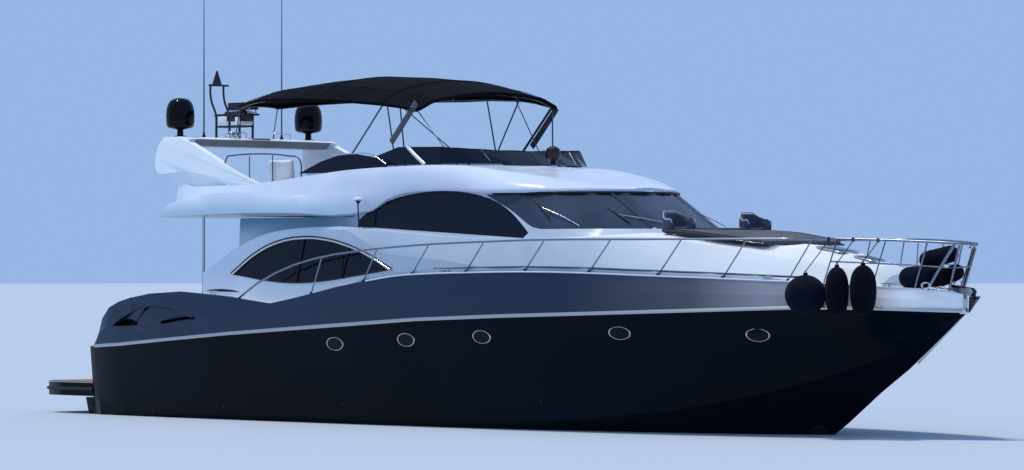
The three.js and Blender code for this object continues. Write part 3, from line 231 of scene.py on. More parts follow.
def hull_finish():
    """Black topsides, a grimy line at the water, dull antifouling under it, and the planked cockpit sole."""
    surface = Surface("hull_gelcoat", colour(4, 10, 17), 0.14, specular=0.07)
    height = surface.along("Z")
    black = surface.mottle(0.6, 2, (0, 9, 19), (2, 14, 26))
    wet = surface.mix(surface.between(height, 0.18, 0.02), black, colour(11, 18, 20))
    bottom = surface.mottle(9, 6, (26, 30, 40), (40, 44, 52), (0.4, 0.7))
    painted = surface.mix(surface.between(height, 0.0, -0.01), wet, bottom)
    planks, _ = teak(surface)
    up = surface.between(surface.normal("Z"), 0.9, 0.95)
    sole = surface.maths("MULTIPLY", up, surface.between(height, *HULL_PLANKED_FROM))
    surface.tint(surface.mix(sole, painted, planks))
    surface.rough(surface.between(height, 0.0, -0.01, 0.1, 0.6))
    return surface.bump(surface.noise(1.4, 2), 0.004, 0.3).material


# Painted light: the band is painted paler towards the bow, standing in for the sky's reflection and the sun
# there; where each tone starts and ends, and the tone
BAND_PAINTED_LIGHT = ((3.6, 6.0, (87, 86, 96)), (6.0, 7.2, (148, 146, 152)), (7.2, 8.4, (166, 162, 166)),
              (8.4, 9.4, (255, 252, 250)))


def band_finish():
    """Dark metallic paint with a fine flake, painted paler towards the bow as painted reflection and
    sunlight, and planks where the moulding faces up in the cockpit.
    """
    surface = Surface("band_gelcoat", colour(40, 50, 78), 0.24, metallic=0.45, specular=0.3)
    flake = surface.between(surface.noise(240, 1), 0.3, 0.7)
    painted = surface.mix(flake, colour(40, 51, 70), colour(51, 64, 84))
    # painted reflection and sunlight: paler tones step in towards the bow
    for start, end, tone in BAND_PAINTED_LIGHT:
        step = surface.between(surface.along("X"), start, end)
        glint = colour(*(min(v * 1.1, 255) for v in tone))
        painted = surface.mix(step, painted, surface.mix(flake, colour(*tone), glint))
    planks, _ = teak(surface)
    up = surface.between(surface.normal("Z"), 0.9, 0.95)
    low = surface.between(surface.along("Z"), *BAND_PLANKED_TO)
    surface.tint(surface.mix(surface.maths("MULTIPLY", up, low), painted, planks))
    surface.set(surface.shader, {"Metallic": surface.between(surface.along("X"), 3.0, 7.0, 0.45, 0.0)})
    return surface.bump(surface.noise(1.1, 2), 0.003, 0.3).material


def gelcoat_finish(name="pale_gelcoat", low=(200, 213, 229), high=(212, 221, 235), foot=None):
    """Pale gelcoat; foot gives the heights, the places along and the tone of a part aft with painted shade,
    darker where shade falls under the flybridge's wing.
    """
    surface = Surface(name, colour(214, 221, 231), 0.24, specular=0.35)
    tone = surface.mottle(0.7, 3, low, high)
    if foot:
        heights, along, dull = foot
        # painted shade: darker tone aft under the flybridge's wing
        part = surface.maths("MULTIPLY", surface.between(surface.along("Z"), *heights),
                             surface.between(surface.along("X"), *along))
        tone = surface.mix(part, tone, colour(*dull))
    surface.tint(tone)
    surface.rough(surface.between(surface.noise(3, 4), 0.3, 0.7, 0.16, 0.27))
    return surface.bump(surface.noise(0.9, 2), 0.004, 0.25).material


# Painted shade on the house's and the coachroof's sides amidships
SHADED_SIDE = colour(174, 190, 206), colour(184, 199, 214)


def surround_finish():
    """Pale gelcoat round the aft windows, painted darker forward as shade, where it meets the deck's sides.
    """
    surface = Surface("surround_gelcoat", colour(214, 221, 231), 0.22, specular=0.35)
    patches = surface.between(surface.noise(1.2, 4), 0.3, 0.7)
    aft = surface.mix(patches, colour(210, 222, 236), colour(220, 230, 242))
    forward = surface.mix(patches, *SHADED_SIDE)
    # painted shade forward of the aft windows
    surface.tint(surface.mix(surface.between(surface.along("X"), -4.8, -1.8), aft, forward))
    return surface.bump(surface.noise(0.9, 2), 0.004, 0.25).material


def arch_finish():
    """Pale mouldings at the sides, painted brighter as sunlight, and a bar between them with painted shade on
    its faces that do not look up.
    """
    surface = Surface("arch_gelcoat", colour(214, 221, 231), 0.26, specular=0.35)
    # painted sunlight on the side mouldings
    pale = surface.mottle(0.7, 3, (234, 244, 249), (244, 250, 253))
    # painted shade for the bar's faces that do not face up
    bar = surface.mottle(2, 4, (156, 150, 144), (170, 164, 158))
    inboard = surface.between(surface.maths("ABSOLUTE", surface.along("Y")), 1.7, 1.68)
    front = surface.between(surface.normal("Z"), 0.8, 0.7)
    surface.tint(surface.mix(surface.maths("MULTIPLY", inboard, front), pale, bar))
    return surface.bump(surface.noise(0.9, 2), 0.004, 0.25).material


def deck_finish():
    """Gelcoat with a nonslip grain where it faces up; its sides have painted shade amidships and painted
    sunlight towards the bow, and faces that look up keep the lit tone.
    """
    surface = Surface("deck_gelcoat", colour(222, 226, 230), 0.4, specular=0.4)
    up = surface.between(surface.normal("Z"), 0.95, 0.985)
    tread = surface.between(surface.cells(90.0), 0.1, 0.5)
    patches = surface.between(surface.noise(1.2, 4), 0.3, 0.7)
    # painted shade on the sides amidships, painted sunlight on them towards the bow
    side = surface.mix(surface.between(surface.along("X"), 3.4, 6.6),
                       surface.mix(patches, *SHADED_SIDE),
                       surface.mix(patches, colour(228, 235, 237), colour(238, 243, 243)))
    top = surface.mix(patches, colour(220, 223, 228), colour(236, 237, 239))
    surface.tint(surface.mix(surface.between(surface.normal("Z"), 0.5, 0.9), side, top))
    surface.rough(surface.between(up, 0, 1, 0.22, 0.6))
    return surface.bump(surface.maths("MULTIPLY", up, tread), 0.0012, 0.7).material


def glass_finish(name="tinted_glass", base=(7, 14, 26), alpha=0.97, specular=0.22):
    """Smoked glass, nearly opaque, faintly wavy."""
    surface = Surface(name, colour(*base), 0.05, specular=specular, Alpha=alpha)
    surface.tint(surface.mottle(0.8, 2, base, [v * 1.5 for v in base], (0.3, 0.7)))
    return surface.bump(surface.noise(0.8, 1), 0.003, 0.25).material


def steel_finish(name="stainless", base=(205, 207, 210), roughness=0.2):
    """Polished metal with fine scratches."""
    surface = Surface(name, colour(*base), roughness, metallic=1.0)
    scratches = surface.noise(30, 6, (1, 14, 14))
    surface.tint(surface.mix(scratches, colour(*(v * 0.85 for v in base)), colour(*base)))
    surface.rough(surface.between(scratches, 0.2, 0.8, roughness * 0.7, roughness * 1.6))
    return surface.material


def canvas_finish(name="black_canvas", dark=(7, 8, 12), light=(17, 19, 27), threads=260):
    """Woven cloth, a little faded in places."""
    sheen = {"Sheen Weight": 0.02, "Sheen Roughness": 0.5}
    surface = Surface(name, colour(*dark), 0.9, specular=0.03, **sheen)
    weave = surface.maths("MAXIMUM", surface.wave(threads, "X", 0.6), surface.wave(threads, "Y", 0.6))
    surface.tint(surface.mottle(1.6, 5, dark, light, (0.3, 0.75)))
    return surface.bump(weave, 0.0006, 0.6).material


def vinyl_finish(name="upholstery", low=(214, 214, 212), high=(234, 233, 229)):
    """Seat vinyl or leather with a pebbled grain."""
    surface = Surface(name, colour(*high), 0.45, specular=0.35)
    surface.tint(surface.mottle(2.5, 4, low, high, (0.3, 0.7)))
    surface.rough(surface.between(surface.noise(7, 4), 0.3, 0.7, 0.38, 0.55))
    return surface.bump(surface.cells(420.0), 0.0006, 0.5).material


def wood_finish():
    """Varnished joinery with rings and grain along it."""
    coat = {"Coat Weight": 0.5, "Coat Roughness": 0.08}
    surface = Surface("varnished_wood", colour(120, 70, 38), 0.28, specular=0.5, **coat)
    rings = surface.wave(5, "Y", 6.0, (0.3, 1, 1))
    grain = surface.noise(9, 8, (0.2, 4, 4))
    figure = surface.maths("MULTIPLY", rings, grain)
    surface.tint(surface.mix(figure, colour(74, 40, 20), colour(146, 92, 52)))
    return surface.bump(grain, 0.0008, 0.4).material


def paint_finish(name="black_paint", base=(12, 13, 16), roughness=0.3, specular=0.4):
    """Paint, moulded plastic or rubber: uneven tone and gloss, and a fine skin."""
    surface = Surface(name, colour(*base), roughness, specular=specular)
    worn = colour(*(min(v * 1.6 + 2, 250) for v in base))
    surface.tint(surface.mix(surface.noise(4, 4), colour(*base), worn))
    surface.rough(surface.between(surface.noise(9, 4), 0.3, 0.7, roughness * 0.75, roughness * 1.35))
    return surface.bump(surface.noise(60, 3), 0.0004, 0.4).material


def bronze_finish():
    """Bronze dulled in patches by the water."""
    surface = Surface("bronze", colour(176, 134, 78), 0.35, metallic=1.0)
    stain = surface.between(surface.noise(11, 6), 0.4, 0.75)
    surface.tint(surface.mix(stain, colour(176, 136, 82), colour(122, 112, 78)))
    surface.rough(surface.between(stain, 0, 1, 0.28, 0.6))
    return surface.bump(surface.noise(26, 5), 0.001, 0.5).material


def teak_finish():
    """Laid teak, with its seams a little sunk."""
    surface = Surface("teak", colour(150, 116, 86), 0.6, specular=0.3)
    planks, seam = teak(surface)
    surface.tint(planks)
    return surface.bump(surface.maths("SUBTRACT", 1.0, seam), 0.001, 0.6).material


def rope_finish(name, dark, light):
    """Laid rope."""
    sheen = {"Sheen Weight": 0.1, "Sheen Roughness": 0.4}
    surface = Surface(name, colour(*dark), 0.8, specular=0.2, **sheen)
    lay = surface.wave(70, "DIAGONAL", 1.0)
    surface.tint(surface.mix(lay, colour(*dark), colour(*light)))
    return surface.bump(lay, 0.002, 0.8).material


def screen_finish():
    """The dark glass of instruments that are switched off."""
    surface = Surface("screen", colour(8, 10, 13), 0.08, specular=0.5)
    surface.tint(surface.mix(surface.noise(3, 2), colour(6, 8, 11), colour(14, 18, 24)))
    return surface.bump(surface.noise(2, 1), 0.0005, 0.2).material


FINISHES = {
    "hull_gelcoat": hull_finish(),
    "band_gelcoat": band_finish(),
    "white_gelcoat": gelcoat_finish(),
    "surround_gelcoat": surround_finish(),
    # Painted shade: the house is toned darker overall and darker still aft just under the flybridge's wing;
    # the flybridge is darker low down aft on its wing
    "house_gelcoat": gelcoat_finish("house_gelcoat", (182, 196, 209), (192, 205, 217),
                                    ((3.3, 3.62), (-1.9, -3.2), (108, 144, 168))),
    "fly_gelcoat": gelcoat_finish("fly_gelcoat", foot=((4.12, 3.84), (-1.2, -2.6), (158, 184, 206))),
    "deck": deck_finish(),
    "tinted_glass": glass_finish(),
    "screen_glass": glass_finish("screen_glass", (40, 48, 62), 0.99, 0.3),
    "stainless": steel_finish(),
    "chrome": steel_finish("chrome", (226, 228, 232), 0.1),
    "black_canvas": canvas_finish(),
    "fender_cover": canvas_finish("fender_cover", (10, 12, 22), (24, 28, 44), 300),
    "grey_canvas": canvas_finish("grey_canvas", (82, 84, 90), (98, 100, 106)),
    "seat_grey": canvas_finish("seat_grey", (62, 68, 84), (82, 88, 104)),
    "seat_piping": vinyl_finish("seat_piping", (150, 154, 168), (176, 180, 192)),
    "upholstery": vinyl_finish(),
    "leather": vinyl_finish("leather", (150, 138, 122), (178, 166, 148)),
    "varnished_wood": wood_finish(),
    "teak": teak_finish(),
    "black_paint": paint_finish(),
    "black_gloss": paint_finish("black_gloss", (3, 5, 8), 0.08, 0.16),
    "arch_gelcoat": arch_finish(),
    "rail_steel": steel_finish("rail_steel", (146, 152, 166), 0.24),
    "frame_steel": steel_finish("frame_steel", (92, 98, 116), 0.3),
    "black_plastic": paint_finish("black_plastic", (7, 8, 10), 0.1),
    # painted shade, for the insides of the quarter scoops
    "recess_painted_shade": paint_finish("recess_painted_shade", (1, 2, 4), 0.9, 0.05),
    "dark_rubber": paint_finish("dark_rubber", (9, 11, 14), 0.5),
    "antenna_grey": paint_finish("antenna_grey", (52, 60, 78), 0.35),
    "white_plastic": paint_finish("white_plastic", (226, 228, 230), 0.35),
    "lamp": paint_finish("lamp", (236, 238, 240), 0.12),
    "screen": screen_finish(),
    "dark_rope": rope_finish("dark_rope", (14, 16, 26), (34, 38, 54)),
    "chain": steel_finish("chain", (168, 170, 172), 0.38),
    "bronze": bronze_finish(),
}

# The record's slot that each finish of its own kind belongs to
SLOT_OF = {entry["node"]: entry["material_slot"] for entry in frame["record"]["subparts"]}
# Nodes whose finish isn't simply their slot's
FINISH_OF = {node: finish for finish, group in {
    "deck": ("deck",),
    "house_gelcoat": ("deckhouse",),
    "fly_gelcoat": ("flybridge",),
    "arch_gelcoat": ("radar_arch",),
    "surround_gelcoat": ("aft_surround_starboard", "aft_surround_port"),
    "screen_glass": ("windscreen_starboard", "windscreen_centre", "windscreen_port"),
    "rail_steel": ("guard_rail_starboard", "guard_rail_port", "pulpit_rail"),
    "frame_steel": ("bimini_frame",),
    "antenna_grey": ("antenna_starboard", "antenna_port"),
    "fender_cover": ("stowed_fenders",),
}.items() for node in group}
BODY_OF = {node: body for body, names in frame["record"]["behaviour"]["bodies"].items() for node in names}


def finish_of(name):
    """A node's finish: its own, or its slot's."""
    return FINISH_OF.get(name, SLOT_OF[name])


def finish_nodes():
    """Gives every node of the solid model its finish."""
    for name, node in nodes.items():
        node.data.materials.clear()
        node.data.materials.append(FINISHES[finish_of(name)])


finish_nodes()


# Shapes
UP = (0, 0, 1)
# Points nearer to each other than this are one
MERGED = 1e-5
# Heights of the cockpit's and saloon's sole, the flybridge's sole and the arch's top
SOLE, FLY_SOLE, ARCH_TOP = 1.4503, 3.8003, 5.2625


def block(low, high, radius=0.006, segments=3):
    """A box with rounded edges."""
    low, high = Vector(low), Vector(high)
    bm = bmesh.new()
    bmesh.ops.create_cube(bm, size=1, matrix=Matrix.Translation((low + high) / 2)
                          @ Matrix.Diagonal((*(high - low), 1)))
    if radius:
        bmesh.ops.bevel(bm, geom=bm.edges[:], affect="EDGES", offset=radius, segments=segments,
                        profile=0.5, material=-1, clamp_overlap=True)
    return bm


def turned(profile, place=(0, 0, 0), axis=UP, steps=32, stretch=(1, 1, 1)):
    """A shape of revolution: the profile's points are radius and height."""
    bm = bmesh.new()
    points = [bm.verts.new((radius, 0, height)) for radius, height in profile]
    for first, second in zip(points, points[1:]):
        bm.edges.new((first, second))
    spun(bm, steps)
    bmesh.ops.remove_doubles(bm, verts=bm.verts, dist=MERGED)
    bmesh.ops.scale(bm, vec=stretch, verts=bm.verts)
    return moved(bm, place, facing(axis))


def spun(bm, steps):
    """A full turn round the upright axis, closed on itself."""
    bmesh.ops.spin(bm, geom=bm.verts[:] + bm.edges[:], cent=(0, 0, 0), axis=UP,
                   angle=2 * math.pi, steps=steps, use_merge=True)


def facing(axis):
    """The turn that points a shape's upright axis along another."""
    return Vector(axis).to_track_quat("Z", "Y").to_matrix()


def ring(radius, thick, place, axis, steps=28, stretch=(1, 1, 1), sides=8):
    """A round bead bent into a ring."""
    bm = bmesh.new()
    bmesh.ops.create_circle(bm, segments=sides, radius=thick,
                            matrix=Matrix.Translation((radius, 0, 0)) @ Matrix.Rotation(math.pi / 2, 4, "X"))
    spun(bm, steps)
    bmesh.ops.scale(bm, vec=stretch, verts=bm.verts)
    return moved(bm, place, facing(axis))


def corners(items):
    """The vertices among what an operator gives back."""
    return [item for item in items if isinstance(item, bmesh.types.BMVert)]


def plate(outline, shift, radius=0.0, segments=2):
    """A flat outline pushed along a direction."""
    bm = bmesh.new()
    face = bm.faces.new([bm.verts.new(point) for point in outline])
    grown = bmesh.ops.extrude_face_region(bm, geom=[face])
    bmesh.ops.translate(bm, vec=shift, verts=corners(grown["geom"]))
    bmesh.ops.recalc_face_normals(bm, faces=bm.faces)
    if radius:
        bmesh.ops.bevel(bm, geom=bm.edges[:], affect="EDGES", offset=radius, segments=segments,
                        profile=0.5, material=-1, clamp_overlap=True)
    return bm


def moved(bm, move=(0, 0, 0), turn=None, about=(0, 0, 0)):
    """A shape turned about a point, then shifted."""
    if turn is not None:
        bmesh.ops.rotate(bm, cent=about, matrix=turn, verts=bm.verts)
    bmesh.ops.translate(bm, vec=move, verts=bm.verts)
    return bm


def turn_about(axis, degrees):
    """A turn about a named axis."""
    return Matrix.Rotation(math.radians(degrees), 3, axis)


def assembled(parts):
    """Several shapes as one mesh."""
    whole = bmesh.new()
    for part in parts:
        mesh = bpy.data.meshes.new("part")
        part.to_mesh(mesh)
        part.free()
        whole.from_mesh(mesh)
        bpy.data.meshes.remove(mesh)
    return whole


def both_sides(parts):
    """The shapes, and the same ones across the centreline."""
    whole = assembled(parts)
    twin = whole.copy()
    bmesh.ops.scale(twin, vec=(1, -1, 1), verts=twin.verts)
    bmesh.ops.reverse_faces(twin, faces=twin.faces)
    return [whole, twin]


def registered(piece, finish, body, replaces):
    """Puts a piece in the scene with its finish and body, and hides the nodes it replaces."""
    scene.collection.objects.link(piece)
    piece.data.materials.append(FINISHES[finish])
    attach(piece, body)
    if replaces:
        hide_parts(*replaces)
    return piece


def shaded(mesh, angle):
    """Smooth shading, with edges sharper than the angle kept crisp."""
    mesh.polygons.foreach_set("use_smooth", [True] * len(mesh.polygons))
    mesh.set_sharp_from_angle(angle=math.radians(angle))


def piece_of(name, parts, finish, body="boat", replaces=(), angle=35.0):
    """One named piece made from the shapes."""
    bm = parts if isinstance(parts, bmesh.types.BMesh) else assembled(parts)
    mesh = bpy.data.meshes.new(name)
    bm.to_mesh(mesh)
    bm.free()
    shaded(mesh, angle)
    return registered(bpy.data.objects.new(name, mesh), finish, body, replaces)


def pipes(name, runs, radius, finish, body="boat", replaces=(), smooth=True, sides=4):
    """Round bar or line bent through each run of points."""
    curve = bpy.data.curves.new(name, "CURVE")
    curve.dimensions = "3D"
    curve.bevel_depth = radius
    curve.bevel_resolution = sides
    curve.resolution_u = 6
    curve.use_fill_caps = True
    for run in runs:
        if smooth and len(run) > 2:
            spline = curve.splines.new("BEZIER")
            spline.bezier_points.add(len(run) - 1)
            for point, place in zip(spline.bezier_points, run):
                point.co = place
                point.handle_left_type = point.handle_right_type = "AUTO"
        else:
            spline = curve.splines.new("POLY")
            spline.points.add(len(run) - 1)
            for point, place in zip(spline.points, run):
                point.co = (*place, 1)
    return registered(bpy.data.objects.new(name, curve), finish, body, replaces)


def surface_of(name):
    """A node's skin, to set a fitting on it."""
    bm = bmesh.new()
    bm.from_mesh(nodes[name].data)
    bmesh.ops.remove_doubles(bm, verts=bm.verts, dist=MERGED)
    tree = BVHTree.FromBMesh(bm)
    bm.free()
    return tree


SKINS = {name: surface_of(name) for name in ("hull", "topside_band", "deckhouse", "flybridge", "deck",
                                             "fly_windscreen")}
# How far up or down a place is shifted in turn until the side's skin is met
SIDE_SHIFTS = (0, -0.02, 0.02, -0.05, 0.05, -0.09, 0.09, -0.15, 0.15, -0.3)
# Places clear of the boat, from which its skins are looked for: y, z and x
OUTSIDE, ABOVE, AHEAD = -5, 9, 8


def side_hit(name, x, z):
    """Where the starboard skin is at a place, or the nearest height at which it is met."""
    for shift in SIDE_SHIFTS:
        hit, normal, _, _ = SKINS[name].ray_cast(Vector((x, OUTSIDE, z + shift)), Vector((0, 1, 0)))
        if hit and hit.y < 0:
            return hit, normal
    raise ValueError(f"no {name} at x {x:.2f}, z {z:.2f}")


def side_y(name, x, z, proud=0.0):
    """The starboard skin's y at a place, a little proud of it."""
    return side_hit(name, x, z)[0].y - proud


def top_z(name, x, y):
    """The height at which a skin is met from above."""
    hit, _, _, _ = SKINS[name].ray_cast(Vector((x, y, ABOVE)), Vector((0, 0, -1)))
    return hit.z


def spread(low, high, count):
    """Even steps from one number to another."""
    return [low + (high - low) * i / (count - 1) for i in range(count)]


def row_at(rows, x):
    """What the rows say at x, between the two it falls between; a row starts with its own x."""
    i = min(max(sum(row[0] <= x for row in rows) - 1, 0), len(rows) - 2)
    low, high = rows[i], rows[i + 1]
    k = (x - low[0]) / (high[0] - low[0])
    return [a + (b - a) * k for a, b in zip(low[1:], high[1:])]


def across(points):
    """Runs of points on the starboard side, and their twins to port."""
    return [run for side in (1, -1) for run in [[(x, y * side, z) for x, y, z in line] for line in points]]


# Rigid nodes whose broad skins are smoothed: the sharpest bend that stays smooth, and the rounding of edges
SMOOTHED = {
    "hull": (24, 0.008), "topside_band": (24, 0.008), "deck": (24, 0.012), "deckhouse": (22, 0.006),
    "flybridge": (40, 0.014), "radar_arch": (30, 0.02), "aft_surround_starboard": (25, 0.01),
    "aft_surround_port": (25, 0.01), "aft_window_starboard": (30, 0), "aft_window_port": (30, 0),
    "fly_side_pane_starboard": (30, 0), "fly_side_pane_port": (30, 0), "rub_rail": (40, 0),
    "fly_windscreen": (26, 0), "side_window_starboard": (30, 0), "side_window_port": (30, 0),
    "windscreen_starboard": (30, 0), "windscreen_centre": (30, 0), "windscreen_port": (30, 0),
    "swim_platform": (30, 0.02), "rudder_starboard": (40, 0.006), "rudder_port": (40, 0.006),
    "guard_rail_starboard": (70, 0), "guard_rail_port": (70, 0), "pulpit_rail": (70, 0),
    "bimini_frame": (70, 0), "mast_frame": (60, 0.003), "antenna_starboard": (60, 0),
    "antenna_port": (60, 0), "overhang_post_starboard": (60, 0), "overhang_post_port": (60, 0),
}
# Degrees within which neighbouring facets count as one
FLAT = 0.5


def smooth_skin(name, angle, rounding):
    """A node's own shape with its small facets shaded smooth and its edges rounded."""
    bm = bmesh.new()
    bm.from_mesh(nodes[name].data)
    bmesh.ops.remove_doubles(bm, verts=bm.verts, dist=MERGED)
    bmesh.ops.dissolve_limit(bm, angle_limit=math.radians(FLAT), verts=bm.verts, edges=bm.edges)
    mesh = bpy.data.meshes.new(name + "_skin")
    bm.to_mesh(mesh)
    bm.free()
    shaded(mesh, angle)
    skin = registered(bpy.data.objects.new(name + "_skin", mesh), finish_of(name), BODY_OF[name], (name,))
    if rounding:
        bevel = skin.modifiers.new("rounded edges", "BEVEL")
        bevel.width, bevel.segments, bevel.limit_method = rounding, 2, "ANGLE"
        bevel.angle_limit = math.radians(angle)
        bevel.use_clamp_overlap = True
        bevel.harden_normals = True


def smooth_skins():
    """The smoothed skins of all the nodes that have one."""
    for name, (angle, rounding) in SMOOTHED.items():
        smooth_skin(name, angle, rounding)


# Canopy: sections as in the solid, x, half-breadth, edge and crown heights, and lift of the port edge
CANOPY = ((-7.32, 0.48, 5.89, 5.935, 0.01), (-6.9, 0.72, 5.925, 6.01, 0.02), (-6.15, 1.1, 5.955, 6.12, 0.03),
          (-5.5, 1.42, 5.955, 6.2, 0.03), (-4.9, 1.6, 5.94, 6.25, 0.03), (-4.4, 1.68, 5.93, 6.29, 0.035),
          (-3.5, 1.76, 5.9, 6.32, 0.045), (-2.7, 1.77, 5.875, 6.28, 0.07), (-1.9, 1.77, 5.82, 6.195, 0.085),
          (-1.4, 1.765, 5.755, 6.09, 0.08), (-0.95, 1.755, 5.665, 5.955, 0.07))
CANOPY_BOWS = (-7.29, -5.6, -3.6, -1.85, -1.02)
CANOPY_SAG = 0.006
# Where the cloth turns down over its side bars, from 0 amidships to 1, and how much of its rise is left there
HIP, HIP_LEFT = 0.78, 0.55
# The hem's two folds: how far each drops, and how far it is drawn in
CANOPY_HEM = ((0.012, 0.998), (0.038, 0.996))


def canopy_place(x, t, drop=0.0):
    """A point on the canopy; t runs from -1 at its starboard edge to 1 at its port edge."""
    half, edge, crown, lift = row_at(CANOPY, x)
    out = abs(t)
    left = HIP_LEFT * (1 - out) / (1 - HIP) if out > HIP else 1 - (1 - HIP_LEFT) * (out / HIP) ** 2
    return Vector((x, half * t, edge + (crown - edge) * left + lift * t - drop))


def canopy_slack(x):
    """How far the cloth sags at x, between the bows that hold it up."""
    held = [bow for bow in CANOPY_BOWS if bow <= x]
    free = [bow for bow in CANOPY_BOWS if bow > x]
    if not held or not free:
        return 0.0
    return CANOPY_SAG * math.sin(math.pi * (x - held[-1]) / (free[0] - held[-1]))


def make_canopy():
    """One curved sheet that sags between its bows, with a turned hem, seams and a roll along its front."""
    bm = bmesh.new()
    bmesh.ops.create_grid(bm, x_segments=84, y_segments=48, size=1)
    rear, front = CANOPY[0][0], CANOPY[-1][0]
    for vert in bm.verts:
        x = rear + (front - rear) * (vert.co.x + 1) / 2
        t = vert.co.y
        vert.co = canopy_place(x, t, 0.002 + canopy_slack(x) * (1 - t ** 4))
    rim = [edge for edge in bm.edges if edge.is_boundary]
    inner = [vert for vert in bm.verts if not vert.is_boundary]
    for _ in range(2):
        bmesh.ops.smooth_vert(bm, verts=inner, factor=0.5, use_axis_z=True)
    for drop, tuck in CANOPY_HEM:
        hem = bmesh.ops.extrude_edge_only(bm, edges=rim)["geom"]
        bmesh.ops.scale(bm, vec=(1, tuck, 1), verts=corners(hem))
        bmesh.ops.translate(bm, vec=(0, 0, -drop), verts=corners(hem))
        rim = [item for item in hem if isinstance(item, bmesh.types.BMEdge) and item.is_boundary]
    bmesh.ops.recalc_face_normals(bm, faces=bm.faces)
    piece = piece_of("canopy_sheet", bm, "black_canvas", replaces=("bimini_canopy",), angle=50)
    cloth = piece.modifiers.new("cloth", "SOLIDIFY")
    cloth.thickness, cloth.offset = 0.004, -1
    seams = [[canopy_place(bow + shift, t, -0.001) for t in spread(-0.99, 0.99, 28)]
             for bow in CANOPY_BOWS[1:-1] for shift in (-0.03, 0.03)]
    seams += [[canopy_place(x, t, -0.001) for x in spread(rear + 0.02, front - 0.02, 30)]
              for t in (-HIP, HIP)]
    stitched = pipes("canopy_seams", seams, 0.0035, "black_canvas", sides=2)
    edges = [[canopy_place(x, side * 0.997, 0.05) for x in spread(rear, front, 30)] for side in (-1, 1)]
    edges += [[canopy_place(x, t * 0.997, 0.05) for t in spread(-1, 1, 30)] for x in (rear, front)]
    hem = pipes("canopy_hem", edges, 0.008, "black_canvas", sides=3)
    lip = [canopy_place(front, t, 0.03) for t in spread(-0.96, 0.96, 24)]
    roll = pipes("canopy_front_roll", [lip], 0.034, "black_canvas", sides=5)


# Fenders: node, centre, radius, half length, the line's head
FENDERS = (
    ("fender_ball", (8.18, -1.615, 2.33), 0.336, 0.345, (8.18, -1.066, 3.205)),
    ("fender_pear_aft", (8.64, -1.37, 2.39), 0.193, 0.42, (8.6, -0.945, 3.195)),
    ("fender_pear_forward", (9.045, -1.195, 2.41), 0.217, 0.43, (9.0, -0.79, 3.18)),
)
# How full the cover is at the foot, and how much it narrows to the eye, on a ball and on a pear
BALL_FULLNESS, PEAR_FULLNESS = (0.95, 0.3), (0.55, 0.55)
COVER_STEPS = 30
# Share of the half length that the rounded body reaches, below the eye
BODY_SHARE = 0.94


def fender_profile(radius, half):
    """Half the outline of a covered fender, from its foot up to its eye."""
    foot, narrowing = BALL_FULLNESS if half < radius * 1.5 else PEAR_FULLNESS
    top = half * BODY_SHARE
    points = [(0.0, -half)]
    for i in range(1, COVER_STEPS - 1):
        turn = math.pi * i / COVER_STEPS
        width = math.sin(turn) ** (foot + narrowing * (i / COVER_STEPS) ** 2)
        points.append((radius * 0.985 * width, -top * math.cos(turn)))
    return points + [(0.045, top - 0.012), (0.036, top + 0.006), (0.034, top + 0.03), (0.0, top + 0.036)]


def make_fenders():
    """Covered fenders hung at the starboard bow, with their sewn seams, eyes, lines and knots."""
    lines, loops = [], []
    for name, (x, y, z), radius, half, head in FENDERS:
        profile = fender_profile(radius, half)
        piece_of(name + "_cover", [turned(profile, (x, y, z), steps=48)], "fender_cover",
                 replaces=(name,), angle=60)
        seams = []
        for k in range(4):
            turn = math.pi * (0.25 + k / 2)
            seams.append([(x + r * 1.004 * math.cos(turn), y + r * 1.004 * math.sin(turn), z + h)
                          for r, h in profile[1:-4:2]])
        pipes(name + "_seams", seams, 0.004, "fender_cover", sides=2)
        eye = z + half * BODY_SHARE + 0.04
        lines.append([(x, y, eye + 0.015), tuple((a + b) / 2 for a, b in zip((x, y, eye), head)), head])
        loops.append(ring(0.022, 0.007, (x, y, eye), (1, 0, 0), steps=16, sides=6))
        for shift in ((0, 0, 0.028), (0.02, 0.008, 0.028)):
            loops.append(ring(0.03, 0.008, Vector(head) + Vector(shift), (1, 0.35, 0), steps=16, sides=6))
    pipes("fender_lines", lines, 0.008, "dark_rope", sides=3)
    piece_of("fender_knots", loops, "dark_rope")


# Fenders stowed in the bow rail: the ends of each one's axis, and its radius
STOWED = (((9.29, -0.32, 2.605), (9.78, -0.215, 2.64), 0.185),
          ((9.56, -0.19, 2.9), (9.96, -0.12, 2.985), 0.145),
          ((9.64, 0.06, 2.6), (9.96, 0.02, 2.69), 0.14))


def make_stowed_fenders():
    """Fenders lying in the bow rail, with a sewn band near each end."""
    parts = []
    for start, end, radius in STOWED:
        start, end = Vector(start), Vector(end)
        half = (end - start).length / 2 + radius * 0.97
        bend = [(0.0, -half)] + [(radius * 0.96 * math.sin(a) ** 0.8, -half + radius * (1 - math.cos(a)))
                                 for a in (math.pi / 2 * i / 8 for i in range(1, 9))]
        profile = bend + [(r, -h) for r, h in reversed(bend)]
        parts.append(turned(profile, (start + end) / 2, end - start, steps=36))
        for share in (0.16, 0.84):
            parts.append(ring(radius * 0.962, 0.005, start.lerp(end, share), end - start, steps=36, sides=6))
    piece_of("stowed_fender_covers", parts, "fender_cover", replaces=("stowed_fenders",), angle=50)


